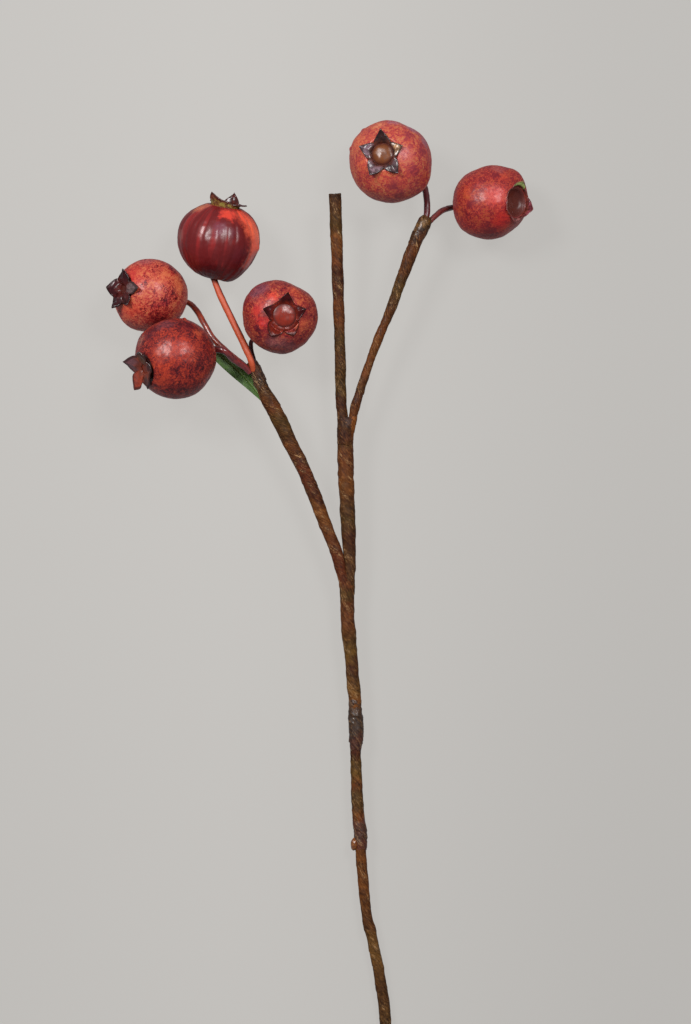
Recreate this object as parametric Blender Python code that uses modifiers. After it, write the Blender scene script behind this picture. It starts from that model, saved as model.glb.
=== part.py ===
# Rose hip sprig lying on a flat surface: a wrapped stem with two forks, six hips on thin
# stalks in two clusters, each hip with its star of dry sepals, and one narrow leaf.
#
# Lengths are in millimetres, measured from the lower fork of the stem, with +Y along the
# stem towards the hips and +Z up. The whole sprig is then moved so that the origin is
# under the middle of its outline, on the surface it lies on.

import math

import bmesh
import bpy
from mathutils import Quaternion, Vector

MM = 0.001
GAP = 0.3             # air left between pieces that touch each other
STEP = 3.5            # spacing of the points along a stem
STALK_STEP = 2.0      # spacing of the points along a hip's stalk
NECK = 1.0            # radius of the stem where a wrap goes round it
ROOT = 0.7            # radius of a rod's end inside a wrap or a binding
SHOULDER = 0.15       # length of the step from a neck or root to the full rod

# Each route is a list of (x, y, z, radius).
MAIN_ROUTE = [
    (11.8, -139.5, 1.5, 1.5), (11.0, -122.0, 1.7, 1.55), (10.1, -114.0, 1.9, 1.6),
    (8.3, -103.5, 2.5, 1.45), (5.8, -92.0, 3.1, 1.55), (4.2, -77.0, 3.7, 1.5),
    (3.4, -63.5, 4.3, 1.8), (2.7, -49.0, 4.8, 1.75), (2.6, -35.5, 5.3, 1.85),
    (1.6, -22.0, 5.9, 1.8), (0.8, -14.0, 6.3, 2.0), (0.4, -7.0, 6.6, 1.9),
    (0.95, 2.5, 7.1, 1.5), (0.95, 6.5, 7.3, 1.65), (0.85, 10.5, 7.5, 1.8),
    (0.3, 22.5, 8.1, 2.05), (-0.2, 35.5, 8.7, 2.25), (-0.2, 39.8, 9.0, 2.2),
]
CENTRE_ROUTE = [
    (-1.0, 46.8, 9.4, 1.4), (-1.4, 50.5, 9.6, 1.5), (-1.6, 62.0, 10.4, 1.5),
    (-2.1, 78.5, 11.5, 1.55), (-2.6, 94.5, 12.7, 1.65), (-3.0, 106.8, 13.5, 1.75),
]
RIGHT_ROUTE = [
    (2.1, 46.9, 9.5, 1.2), (2.6, 48.8, 9.6, 1.3), (4.7, 55.5, 10.0, 1.2),
    (8.1, 65.2, 10.6, 1.2), (12.2, 75.0, 11.3, 1.3), (15.6, 84.5, 12.1, 1.6),
    (18.2, 91.4, 12.6, 1.75), (19.4, 94.2, 12.7, 1.75),
]
LEFT_ROUTE = [
    (-1.75, 2.4, 7.1, 1.1), (-2.3, 6.5, 7.4, 1.35), (-3.4, 9.8, 7.8, 1.5),
    (-5.5, 15.7, 8.4, 1.75), (-10.6, 29.0, 9.7, 1.85), (-15.4, 38.8, 10.6, 1.95),
    (-18.5, 45.4, 11.2, 2.15), (-22.0, 51.8, 11.8, 1.9), (-23.4, 54.4, 12.1, 1.8),
]

# Where the plain sleeves go: (y from, y to) along the stem, and how much fatter they are.
SLEEVES = {
    "tail_wrap": ((-73.0, -66.5), 0.15),
    "splice_wrap": ((-45.5, -35.5), 0.35),
}

# Wraps and bindings that rods end in, and each rod's root inside them: (x, y, z).
LOWER_FORK_WRAP = [(0.2, -7.2, 6.6, 2.1), (-0.1, -3.2, 6.8, 2.3), (-0.3, 1.9, 7.1, 2.7)]
UPPER_FORK_WRAP = [(-0.2, 40.2, 9.0, 2.3), (0.0, 43.0, 9.2, 2.5), (0.4, 46.4, 9.4, 2.75)]
LEFT_BINDING = [(-23.6, 54.8, 12.1, 2.0), (-24.4, 56.6, 12.4, 2.3), (-25.2, 58.3, 12.6, 2.5),
                (-25.8, 59.6, 12.8, 2.0)]
RIGHT_BINDING = [(19.6, 94.6, 12.7, 1.9), (20.4, 96.8, 12.8, 2.1), (21.4, 98.8, 12.7, 2.1),
                 (21.9, 99.8, 12.6, 1.7)]
MAIN_ROOT = (-0.2, 42.4, 9.1)
CENTRE_ROOT = (-0.85, 44.2, 9.2)
RIGHT_ROOT = (1.4, 44.2, 9.3)
RIGHT_TOP_ROOT = (20.2, 96.4, 12.7)
LEFT_ROOT = (-1.25, -0.4, 6.9)
LEFT_TOP_ROOT = (-24.1, 56.0, 12.3)

HIPS = {
    # name: centre, radius, length along its axis over its width, direction of its crown
    "left_hip_upper": ((-34.9, 94.0, 12.4), 11.3, 0.94, (0.08, 1.0, 0.06)),
    "left_hip_outer": ((-53.7, 79.2, 10.1), 10.0, 1.02, (-0.75, 0.12, 0.65)),
    "left_hip_front": ((-46.3, 61.3, 20.6), 11.0, 1.00, (-0.94, -0.30, 0.12)),
    "left_hip_inner": ((-18.0, 73.0, 16.8), 10.2, 0.94, (0.08, 0.11, 0.99)),
    "right_hip_inner": ((12.1, 115.3, 16.8), 11.3, 0.95, (-0.22, 0.20, 0.95)),
    "right_hip_outer": ((39.7, 104.7, 10.2), 10.2, 1.02, (0.80, 0.05, 0.60)),
}
HIP_STEPS = 24
BODY_POINTS = 12
CROWN_SEAT = 0.44     # these four are parts of the hip's radius
CROWN_RING = 0.35
DOME_RADIUS = 0.26
DIMPLE_RADIUS = 0.20
DIMPLE_DEPTH = 0.9
DOME_HEIGHT = 1.6

SEPALS = {
    # name of the hip: lean of the sepals away from its axis in degrees, length, turn
    "left_hip_upper": (34.0, 3.1, 4.0),
    "left_hip_outer": (36.0, 3.7, 18.0),
    "left_hip_front": (38.0, 4.7, 36.0),
    "left_hip_inner": (54.0, 2.8, 15.0),
    "right_hip_inner": (50.0, 3.4, 20.0),
    "right_hip_outer": (42.0, 2.4, -16.0),
}
SEPAL_COUNT = 5
SEPAL_THICKNESS = 0.6
CUP_HEIGHT = 1.5

STALKS = {
    # name of the hip: root inside the cluster's binding, then the route to near its base
    "left_hip_upper": [(-25.3, 58.4, 13.6, 0.7), (-25.9, 60.8, 14.7, 1.1),
                       (-27.7, 65.0, 14.4, 1.2), (-30.9, 71.6, 13.6, 1.15),
                       (-34.1, 78.2, 12.6, 1.15), (-35.6, 81.8, 12.0, 1.05)],
    "left_hip_outer": [(-26.2, 57.9, 11.9, 0.7), (-27.8, 59.7, 11.4, 1.05),
                       (-32.9, 63.8, 10.6, 1.1), (-36.5, 67.3, 9.6, 1.1),
                       (-39.2, 71.7, 8.0, 1.1), (-41.4, 75.4, 5.4, 1.1),
                       (-43.8, 77.6, 3.2, 1.0)],
    "left_hip_front": [(-26.3, 57.9, 13.3, 0.7), (-28.0, 59.5, 14.3, 1.05),
                       (-30.6, 61.2, 16.0, 1.1), (-33.4, 63.6, 18.3, 1.1)],
    "left_hip_inner": [(-24.5, 59.0, 12.0, 0.6), (-25.3, 61.4, 11.4, 0.75),
                       (-26.1, 64.6, 10.6, 0.75), (-25.9, 66.7, 9.2, 0.75),
                       (-24.1, 67.8, 7.2, 0.75), (-21.6, 70.0, 5.2, 0.8)],
    "right_hip_inner": [(21.0, 98.6, 12.9, 0.7), (22.1, 101.0, 12.5, 1.0),
                        (22.2, 105.2, 11.2, 1.0), (21.4, 109.4, 8.0, 1.0),
                        (18.6, 112.0, 4.8, 1.0)],
    "right_hip_outer": [(21.6, 98.0, 11.5, 0.7), (23.8, 100.2, 10.8, 1.0),
                        (26.2, 102.4, 8.2, 1.0), (28.0, 103.4, 5.6, 1.0),
                        (29.8, 104.0, 3.4, 1.0)],
}

BEAD_AT = (1.0, -73.6, 3.9)
BEAD_RADIUS = 1.3
LEAF_ROUTE = [(-22.4, 49.7, 8.9), (-26.2, 54.8, 8.4), (-30.4, 59.2, 7.9), (-35.4, 63.2, 7.4),
              (-38.6, 65.3, 7.2)]
LEAF_WIDTHS = (0.8, 3.4, 4.6, 3.6, 0.6)
LEAF_SIDES = ((-0.5, -0.25), (0.0, 0.0), (0.5, 0.2))   # across, and up, for a width of one
LEAF_THICKNESS = 0.6

COLOURS = {
    # slot: colour, roughness
    "hip": ((0.36, 0.03, 0.02, 1.0), 0.28),
    "calyx": ((0.09, 0.02, 0.015, 1.0), 0.35),
    "stem": ((0.16, 0.08, 0.03, 1.0), 0.55),
    "wrap": ((0.10, 0.04, 0.02, 1.0), 0.50),
    "stalk": ((0.22, 0.03, 0.02, 1.0), 0.40),
    "bead": ((0.45, 0.17, 0.06, 1.0), 0.25),
    "leaf": ((0.06, 0.13, 0.03, 1.0), 0.45),
}


def clear_scene():
    for item in list(bpy.data.objects):
        bpy.data.objects.remove(item, do_unlink=True)


def new_collection(name):
    collection = bpy.data.collections.new(name)
    bpy.context.scene.collection.children.link(collection)
    return collection


def make_material(slot):
    colour, roughness = COLOURS[slot]
    material = bpy.data.materials.new(slot)
    material.use_nodes = True
    shader = material.node_tree.nodes["Principled BSDF"]
    shader.inputs["Base Color"].default_value = colour
    shader.inputs["Roughness"].default_value = roughness
    shader.inputs["Metallic"].default_value = 0.0
    material.diffuse_color = colour
    return material


# Routes


def smooth_route(points, step):
    """Points about one step apart on a smooth curve through the given ones."""
    points = [Vector(point) for point in points]
    ends = [2 * points[0] - points[1]] + points + [2 * points[-1] - points[-2]]
    smooth = []
    for a, b, c, d in zip(ends, ends[1:], ends[2:], ends[3:]):
        count = max(1, round((c.xyz - b.xyz).length / step))
        for index in range(count):
            t = index / count
            bend = (2 * a - 5 * b + 4 * c - d) * t ** 2 + (3 * b - a - 3 * c + d) * t ** 3
            smooth.append((2 * b + (c - a) * t + bend) / 2)
    smooth.append(points[-1])
    return smooth


def at_y(route, y):
    """The point where a route that climbs in y reaches the given y."""
    for low, high in zip(route, route[1:]):
        if low.y <= y <= high.y:
            return low.lerp(high, (y - low.y) / (high.y - low.y))
    raise ValueError("the route does not reach that y")


def thinned(point, radius):
    return Vector((point.x, point.y, point.z, radius))


def necked(route, spans):
    """The route with a narrow neck under each sleeve, from one y to another."""
    result = list(route)
    for low, high in spans:
        low -= GAP
        high += GAP
        result = [point for point in result
                  if not low - SHOULDER * 2 < point.y < high + SHOULDER * 2]
        result += [at_y(route, low - SHOULDER), at_y(route, high + SHOULDER)]
        result += [thinned(at_y(route, y), NECK) for y in (low, (low + high) / 2, high)]
        result.sort(key=lambda point: point.y)
    return result


def rooted(route, root, radius=ROOT):
    """The route with a thin root added before its first point."""
    root = Vector((*root, radius))
    first = route[0]
    back = (root.xyz - first.xyz).normalized() * SHOULDER
    shoulder = Vector((*(first.xyz + back), radius))
    return [root, shoulder] + route


def grown(route):
    """The start of the route, longer and fatter by the gap, to cut its socket with."""
    tip = (route[0].xyz - route[1].xyz).normalized() * GAP
    points = [Vector((*(route[0].xyz + tip), route[0].w))] + route[1:6]
    return [thinned(point, point.w + GAP) for point in points]


# Solids


def make_tube(name, route, collection, material):
    """A rod along the route as a curve object with filled ends."""
    curve = bpy.data.curves.new(name, "CURVE")
    curve.dimensions = "3D"
    curve.bevel_depth = MM
    curve.bevel_resolution = 2
    curve.use_fill_caps = True
    spline = curve.splines.new("POLY")
    spline.points.add(len(route) - 1)
    for spline_point, point in zip(spline.points, route):
        spline_point.co = (point.x * MM, point.y * MM, point.z * MM, 1.0)
        spline_point.radius = point.w
    tube = bpy.data.objects.new(name, curve)
    tube.data.materials.append(material)
    collection.objects.link(tube)
    return tube


def to_mesh(tube):
    """The curve object replaced by a closed mesh object of the same name."""
    bpy.context.view_layer.update()
    evaluated = tube.evaluated_get(bpy.context.evaluated_depsgraph_get())
    mesh = bpy.data.meshes.new_from_object(evaluated)
    name = tube.name
    collection = tube.users_collection[0]
    bpy.data.objects.remove(tube, do_unlink=True)
    shape = bmesh.new()
    shape.from_mesh(mesh)
    bmesh.ops.remove_doubles(shape, verts=shape.verts, dist=0.02 * MM)
    bmesh.ops.recalc_face_normals(shape, faces=shape.faces)
    shape.to_mesh(mesh)
    shape.free()
    solid = bpy.data.objects.new(name, mesh)
    collection.objects.link(solid)
    return solid


def mesh_object(name, shape, collection, material):
    """An object from a bmesh, which is freed."""
    mesh = bpy.data.meshes.new(name)
    bmesh.ops.recalc_face_normals(shape, faces=shape.faces)
    shape.to_mesh(mesh)
    shape.free()
    item = bpy.data.objects.new(name, mesh)
    item.data.materials.append(material)
    collection.objects.link(item)
    return item


def place(item, centre, crown, turn=0.0):
    """Put an object's origin at the centre, its +Z along the crown, turned about it."""
    item.location = Vector(centre) * MM
    item.rotation_mode = "QUATERNION"
    aim = Vector((0.0, 0.0, 1.0)).rotation_difference(Vector(crown))
    item.rotation_quaternion = aim @ Quaternion((0, 0, 1), math.radians(turn))


def make_wrap(name, route, holes, collections, material):
    """A short solid around the ends of some rods, with a hole along each of their routes."""
    parts, cutters = collections
    wrap = to_mesh(make_tube(name, [Vector(point) for point in route], parts, material))
    for index, hole in enumerate(holes):
        cutter = to_mesh(make_tube(f"{name}_hole_{index}", hole, cutters, material))
        cutter.hide_render = True
        cutter.display_type = "WIRE"
        boolean = wrap.modifiers.new(f"hole_{index}", "BOOLEAN")
        boolean.operation = "DIFFERENCE"
        boolean.solver = "EXACT"
        boolean.object = cutter


def neck_hole(route, span):
    """A hole for the neck of the stem, right through a sleeve."""
    low, high = span
    return [thinned(at_y(route, y), NECK + GAP) for y in (low - 1, (low + high) / 2, high + 1)]


def make_sleeve(name, route, collections, material):
    """A wrap over one stretch of the stem, fattest in its middle."""
    (low, high), extra = SLEEVES[name]
    outline = []
    for part, swell in ((0.0, 0.0), (0.2, 0.8), (0.5, 1.0), (0.8, 0.7), (1.0, 0.1)):
        point = at_y(route, low + (high - low) * part)
        outline.append(thinned(point, point.w + extra * swell))
    make_wrap(name, outline, [neck_hole(route, (low, high))], collections, material)


def crown_height(hip_name):
    """How far the seat of the crown is from the hip's centre, along its axis."""
    _, radius, length, _ = HIPS[hip_name]
    return length * radius * math.sqrt(1 - CROWN_SEAT ** 2)


def base_point(hip_name):
    """The end of the stalk, just under the dimple in the hip's base."""
    centre, radius, length, crown = HIPS[hip_name]
    base = length * radius * math.sqrt(1 - DIMPLE_RADIUS ** 2) - DIMPLE_DEPTH / 2 + GAP * 2
    return Vector(centre) - Vector(crown).normalized() * base


def hip_profile(hip_name):
    """Half outline from the middle of the crown, down the outer side, to the stalk's dimple."""
    _, radius, length, _ = HIPS[hip_name]
    top = crown_height(hip_name)
    dome = [(DOME_RADIUS * radius * math.sin(t), top + DOME_HEIGHT * math.cos(t))
            for t in (0.0, 0.5, 1.0, 1.4)]
    seat = [(DOME_RADIUS * radius, top), (CROWN_SEAT * radius, top)]
    first = math.asin(CROWN_SEAT)
    last = math.pi - math.asin(DIMPLE_RADIUS)
    angles = [first + (last - first) * index / BODY_POINTS for index in range(1, BODY_POINTS + 1)]
    body = [(radius * math.sin(t), length * radius * math.cos(t)) for t in angles]
    dimple = [(0.0, body[-1][1] + DIMPLE_DEPTH)]
    return dome + seat + body + dimple


def make_hip(hip_name, collection, material):
    centre, _, _, crown = HIPS[hip_name]
    shape = bmesh.new()
    corners = [shape.verts.new((x * MM, 0.0, z * MM)) for x, z in hip_profile(hip_name)]
    for low, high in zip(corners, corners[1:]):
        shape.edges.new((low, high))
    hip = mesh_object(hip_name, shape, collection, material)
    screw = hip.modifiers.new("turn", "SCREW")
    screw.steps = HIP_STEPS
    screw.render_steps = HIP_STEPS
    screw.use_merge_vertices = True
    screw.merge_threshold = 0.01 * MM
    place(hip, centre, crown)


def make_calyx(hip_name, collection, material):
    """A short cup that stands on the hip's crown and opens into pointed sepals."""
    centre, radius, _, crown = HIPS[hip_name]
    lean, length, turn = SEPALS[hip_name]
    out = math.sin(math.radians(lean)) * length
    up = math.cos(math.radians(lean)) * length
    ring = CROWN_RING * radius
    base = crown_height(hip_name) + GAP
    rows = (
        # radius, height, part of the sepal's share of the circle
        (ring - 0.15, base, 1.0),
        (ring, base + CUP_HEIGHT, 1.0),
        (ring + out * 0.55, base + CUP_HEIGHT + up * 0.55, 0.6),
        (ring + out, base + CUP_HEIGHT + up, 0.0),
    )
    half = math.pi / SEPAL_COUNT
    shape = bmesh.new()
    for index in range(SEPAL_COUNT):
        lines = []
        for distance, height, share in rows:
            angles = [half * (2 * index + side * share) for side in (-1, 0, 1)]
            lines.append([shape.verts.new((distance * math.cos(angle) * MM,
                                           distance * math.sin(angle) * MM,
                                           height * MM)) for angle in angles])
        for low, high in zip(lines, lines[1:]):
            for side in (0, 1):
                shape.faces.new((low[side], low[side + 1], high[side + 1], high[side]))
    bmesh.ops.remove_doubles(shape, verts=shape.verts, dist=0.01 * MM)
    calyx = mesh_object(hip_name.replace("hip", "calyx"), shape, collection, material)
    solidify = calyx.modifiers.new("thickness", "SOLIDIFY")
    solidify.thickness = SEPAL_THICKNESS * MM
    solidify.offset = 0.0
    place(calyx, centre, crown, turn)


def make_bead(collection, material):
    bpy.ops.mesh.primitive_uv_sphere_add(segments=16, ring_count=10, radius=BEAD_RADIUS * MM,
                                         location=Vector(BEAD_AT) * MM)
    bead = bpy.context.object
    bead.name = "glue_bead"
    bead.data.materials.append(material)
    for owner in list(bead.users_collection):
        owner.objects.unlink(bead)
    collection.objects.link(bead)


def make_leaf(collection, material):
    """A narrow blade, widest in its middle, under the top of the left branch."""
    shape = bmesh.new()
    rows = []
    route = [Vector(point) for point in LEAF_ROUTE]
    for index, width in enumerate(LEAF_WIDTHS):
        along = route[min(index + 1, len(route) - 1)] - route[max(index - 1, 0)]
        across = Vector((-along.y, along.x, 0.0)).normalized()
        rows.append([shape.verts.new((route[index] + across * side * width
                                      + Vector((0, 0, up * width))) * MM)
                     for side, up in LEAF_SIDES])
    for low, high in zip(rows, rows[1:]):
        for side in (0, 1):
            shape.faces.new((low[side], low[side + 1], high[side + 1], high[side]))
    leaf = mesh_object("leaf", shape, collection, material)
    solidify = leaf.modifiers.new("thickness", "SOLIDIFY")
    solidify.thickness = LEAF_THICKNESS * MM
    solidify.offset = 0.0
    soften = leaf.modifiers.new("soften", "SUBSURF")
    soften.levels = 1
    soften.render_levels = 1


# The sprig


def make_stems(collections, material):
    parts = collections[0]
    main = smooth_route(MAIN_ROUTE, STEP)
    lower_fork = (LOWER_FORK_WRAP[0][1], LOWER_FORK_WRAP[-1][1])
    spans = [span for span, _ in SLEEVES.values()] + [lower_fork]
    main_top = rooted(main[::-1], MAIN_ROOT, NECK)
    centre = rooted(smooth_route(CENTRE_ROUTE, STEP), CENTRE_ROOT)
    right = rooted(smooth_route(RIGHT_ROUTE, STEP), RIGHT_ROOT)
    right_top = rooted(right[::-1], RIGHT_TOP_ROOT)
    left = rooted(smooth_route(LEFT_ROUTE, STEP), LEFT_ROOT)
    left_top = rooted(left[::-1], LEFT_TOP_ROOT)
    make_tube("main_stem", necked(main_top[::-1], spans), parts, material["stem"])
    make_tube("centre_twig", centre, parts, material["stem"])
    make_tube("right_twig", right_top, parts, material["stem"])
    make_tube("left_branch", left_top, parts, material["stem"])

    stalks = {name: [Vector(point) for point in route] for name, route in STALKS.items()}
    for name, route in stalks.items():
        body = smooth_route(route[1:] + [(*base_point(name), route[-1].w)], STALK_STEP)
        stalks[name] = rooted(body, route[0].xyz, route[0].w)
        make_tube(name.replace("hip", "stalk"), stalks[name], parts, material["stalk"])

    for name in SLEEVES:
        make_sleeve(name, main, collections, material["wrap"])
    make_wrap("lower_fork_wrap", LOWER_FORK_WRAP, [neck_hole(main, lower_fork), grown(left)],
              collections, material["wrap"])
    make_wrap("upper_fork_wrap", UPPER_FORK_WRAP, [grown(main_top), grown(centre), grown(right)],
              collections, material["wrap"])
    left_ends = [left_top] + [route for name, route in stalks.items() if "left" in name]
    make_wrap("left_cluster_binding", LEFT_BINDING, [grown(route) for route in left_ends],
              collections, material["wrap"])
    right_ends = [right_top] + [route for name, route in stalks.items() if "right" in name]
    make_wrap("right_cluster_binding", RIGHT_BINDING, [grown(route) for route in right_ends],
              collections, material["wrap"])


def rest_on_surface(collections):
    """Move everything by one parent: outline centred, lowest point at z = 0."""
    bpy.context.view_layer.update()
    graph = bpy.context.evaluated_depsgraph_get()
    corners = []
    for item in collections[0].objects:
        evaluated = item.evaluated_get(graph)
        corners += [item.matrix_world @ vertex.co for vertex in evaluated.to_mesh().vertices]
        evaluated.to_mesh_clear()
    low = [min(corner[axis] for corner in corners) for axis in range(3)]
    high = [max(corner[axis] for corner in corners) for axis in range(3)]
    sprig = bpy.data.objects.new("sprig", None)
    bpy.context.scene.collection.objects.link(sprig)
    sprig.location = (-(low[0] + high[0]) / 2, -(low[1] + high[1]) / 2, -low[2])
    for collection in collections:
        for item in collection.objects:
            item.parent = sprig


def main():
    clear_scene()
    collections = (new_collection("rose_hip_sprig"), new_collection("cutters"))
    parts = collections[0]
    material = {slot: make_material(slot) for slot in COLOURS}
    make_stems(collections, material)
    for hip_name in HIPS:
        make_hip(hip_name, parts, material["hip"])
        make_calyx(hip_name, parts, material["calyx"])
    make_bead(parts, material["bead"])
    make_leaf(parts, material["leaf"])
    rest_on_surface(collections)


main()
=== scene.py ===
import math

import bpy
import numpy as np
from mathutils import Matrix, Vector, noise


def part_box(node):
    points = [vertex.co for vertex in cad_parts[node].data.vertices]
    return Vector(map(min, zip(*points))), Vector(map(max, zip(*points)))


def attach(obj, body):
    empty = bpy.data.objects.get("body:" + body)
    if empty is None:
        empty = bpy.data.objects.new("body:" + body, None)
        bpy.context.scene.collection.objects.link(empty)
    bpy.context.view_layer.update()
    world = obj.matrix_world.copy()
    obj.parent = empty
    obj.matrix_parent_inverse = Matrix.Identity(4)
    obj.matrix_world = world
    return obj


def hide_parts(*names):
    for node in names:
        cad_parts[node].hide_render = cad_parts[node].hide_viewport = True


# Rose hip sprig lying on a pale table. Sizes here are millimetres, counted from the lower fork:
# y runs along the stem to the hips, x to the right, z up from the table.
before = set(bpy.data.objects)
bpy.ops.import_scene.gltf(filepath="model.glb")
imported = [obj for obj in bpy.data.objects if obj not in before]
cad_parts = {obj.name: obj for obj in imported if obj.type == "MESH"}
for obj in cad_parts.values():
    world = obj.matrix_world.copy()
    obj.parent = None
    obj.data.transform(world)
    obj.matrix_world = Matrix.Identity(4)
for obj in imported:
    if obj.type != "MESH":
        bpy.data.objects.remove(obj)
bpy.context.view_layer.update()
mm = 0.001
fullTurn = 2 * math.pi

beadAt = Vector((1.0, -73.6, 3.9))
beadLow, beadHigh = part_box("glue_bead")
shift = (beadLow + beadHigh) / 2 / mm - beadAt      # from the lower fork to the frame's origin
print("frame loaded, lower fork at", [round(v, 2) for v in shift], "mm")


# Small tools for shapes

seedStep = np.array((7.31, 3.17, 11.9))     # how far one seed's noise lies from the next


def cloud(points, size, seed):
    # smooth noise, about -1 to 1, with lumps of that size
    spots = points.reshape(-1, 3) / size + seed * seedStep
    return np.array([noise.noise(spot) for spot in spots]).reshape(points.shape[:-1])


def clouds(points, seed, *layers):
    # noises added up; each one's amount, size and step of the seed
    return sum(amount * cloud(points, size, seed + step) for amount, size, step in layers)


def ramp(value, low, high):
    # 0 below low, 1 above high, smooth between them
    part = np.clip((value - low) / (high - low), 0, 1)
    return part * part * (3 - 2 * part)


def bell(value, middle, width):
    # 1 in the middle, falling away on both sides
    return np.exp(-((value - middle) / width) ** 2)


def unit(vectors):
    return vectors / np.maximum(np.linalg.norm(vectors, axis=-1), 1e-9)[..., None]


def roundAngles(count):
    return np.linspace(0, fullTurn, count, endpoint=False)


def circle(angle, height=0.0, radius=1.0):
    # points at those angles round a circle, at that height
    across = radius * np.cos(angle), radius * np.sin(angle)
    return np.stack(np.broadcast_arrays(*across, height), -1)


def smoothRoute(points, step):
    # a smooth curve through the given points: its centres, radii and lengths so far
    points = [np.array(point, float) for point in points]
    ends = [2 * points[0] - points[1]] + points + [2 * points[-1] - points[-2]]
    line = []
    for a, b, c, d in zip(ends, ends[1:], ends[2:], ends[3:]):
        count = max(2, round(np.linalg.norm(c[:3] - b[:3]) / step))
        for index in range(count):
            t = index / count
            bend = (2 * a - 5 * b + 4 * c - d) * t ** 2 + (3 * b - a - 3 * c + d) * t ** 3
            line.append((2 * b + (c - a) * t + bend) / 2)
    line = np.array(line + [points[-1]])
    centre, radius = line[:, :3], line[:, 3]
    steps = np.linalg.norm(np.diff(centre, axis=0), axis=1)
    return {"centre": centre, "radius": radius, "along": np.append(0, np.cumsum(steps))}


def tubeRays(route, sides):
    # round each point of a route: the angles, the length so far, the ways out; and the last run
    run = unit(np.gradient(route["centre"], axis=0))
    across = np.cross(run[0], (0, 0, 1))
    side = []
    for direction in run:
        across = unit(across - direction * (across @ direction))
        side.append(across)
    side = np.array(side)[:, None]
    up = np.cross(side, run[:, None])
    along = route["along"][:, None] + np.zeros(sides)
    angle = roundAngles(sides) + 0 * along
    ray = np.cos(angle)[..., None] * side + np.sin(angle)[..., None] * up
    return angle, along, ray, run[-1]


def atHeight(route, y):
    # centre and radius where a route that climbs in y reaches that y
    centre = [np.interp(y, route["centre"][:, 1], route["centre"][:, axis]) for axis in range(3)]
    return np.array(centre), np.interp(y, route["centre"][:, 1], route["radius"])


def closeEnds(rings, inset=((0.93, 0.10), (0.6, 0.16))):
    # rings that step in over both open ends; each step has its size and its push outward
    def lid(ring, beside):
        middle = ring.mean(axis=0)
        outward = unit(middle - beside.mean(axis=0))
        return [middle + (ring - middle) * part + outward * push for part, push in inset]
    return np.array(lid(rings[0], rings[1])[::-1] + list(rings) + lid(rings[-1], rings[-2]))


def padLayers(layers):
    # the values for the two extra rings at each closed end
    return {key: np.concatenate((values[:1], values[:1], values, values[-1:], values[-1:]))
            for key, values in layers.items()}


def aboveTable(rings, gap=0.02):
    rings[..., 2] = np.maximum(rings[..., 2], gap - shift[2])
    return rings


def ringMesh(name, rings, layers=None, fans=True, loop=False):
    # a closed mesh from rings of points; layers are named values for each point
    count, around = rings.shape[:2]
    points = rings.reshape(-1, 3)
    row = np.arange(around)
    following = (row + 1) % around
    faces = []
    for index in range(count if loop else count - 1):
        low, high = index * around, (index + 1) % count * around
        faces += np.stack((low + row, low + following, high + following, high + row), 1).tolist()
    corner = points[np.array(faces)]
    if fans:
        first, last, top = count * around, count * around + 1, (count - 1) * around
        points = np.vstack((points, rings[0].mean(axis=0), rings[-1].mean(axis=0)))
        pairs = list(zip(row.tolist(), following.tolist()))
        faces += [(first, b, a) for a, b in pairs] + [(last, top + a, top + b) for a, b in pairs]
    inner = np.cross(corner[:, 1], corner[:, 2]) + np.cross(corner[:, 2], corner[:, 3])
    if np.sum(corner[:, 0] * inner) < 0:        # inside out
        faces = [face[::-1] for face in faces]
    mesh = bpy.data.meshes.new(name)
    mesh.from_pydata(((points + np.array(shift)) * mm).tolist(), [], faces)
    for key, values in (layers or {}).items():
        flat = np.asarray(values, float).reshape(count * around, -1)
        if fans:
            flat = np.vstack((flat, flat[:around].mean(axis=0), flat[-around:].mean(axis=0)))
        kind, field = ("FLOAT", "value") if flat.shape[1] == 1 else ("FLOAT_VECTOR", "vector")
        if key == "tone":
            kind, field = "FLOAT_COLOR", "color"
            flat = np.hstack((flat, np.ones((len(flat), 1))))
        mesh.attributes.new(key, kind, "POINT").data.foreach_set(field, flat.ravel())
    mesh.shade_smooth()
    mesh.validate()
    item = bpy.data.objects.new(name, mesh)
    bpy.context.scene.collection.objects.link(item)
    return item


def finishPiece(item, node, material):
    item.data.materials.append(material)
    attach(item, "root")
    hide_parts(node)


# Small tools for materials

def linear(code):
    # a hex colour such as "8a2a26" as linear red, green, blue
    parts = [int(code[index:index + 2], 16) / 255 for index in (0, 2, 4)]
    return np.array([part / 12.92 if part <= 0.04045 else ((part + 0.055) / 1.055) ** 2.4
                     for part in parts])


def rgba(code):
    return (*linear(code), 1.0)


def newMaterial(name, fixed):
    material = bpy.data.materials.new(name)
    material.use_nodes = True
    shader = material.node_tree.nodes["Principled BSDF"]
    for key, value in fixed.items():
        shader.inputs[key].default_value = value
    return material, material.node_tree


def addNode(tree, kind, inputs=None, **settings):
    made = tree.nodes.new("ShaderNode" + kind)
    for key, value in settings.items():
        setattr(made, key, value)
    for key, value in (inputs or {}).items():
        if isinstance(value, bpy.types.NodeSocket):
            tree.links.new(value, made.inputs[key])
        else:
            made.inputs[key].default_value = value
    return made


def layerOf(tree, name, output="Fac"):
    return addNode(tree, "Attribute", attribute_name=name).outputs[output]


def speckle(tree, where, size, detail=4.0, rough=0.6, warp=0.0, output="Fac"):
    # noise with spots of that size, in the unit of where
    made = addNode(tree, "TexNoise", {"Vector": where, "Scale": 1 / size, "Detail": detail,
                                      "Roughness": rough, "Distortion": warp})
    return made.outputs[output]


def remap(tree, value, low, high, toLow=0.0, toHigh=1.0):
    made = addNode(tree, "MapRange", {"Value": value, "From Min": low, "From Max": high,
                                      "To Min": toLow, "To Max": toHigh},
                   interpolation_type="SMOOTHSTEP")
    return made.outputs["Result"]


def combine(tree, operation, *values):
    return addNode(tree, "Math", dict(enumerate(values)), operation=operation).outputs[0]


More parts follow.
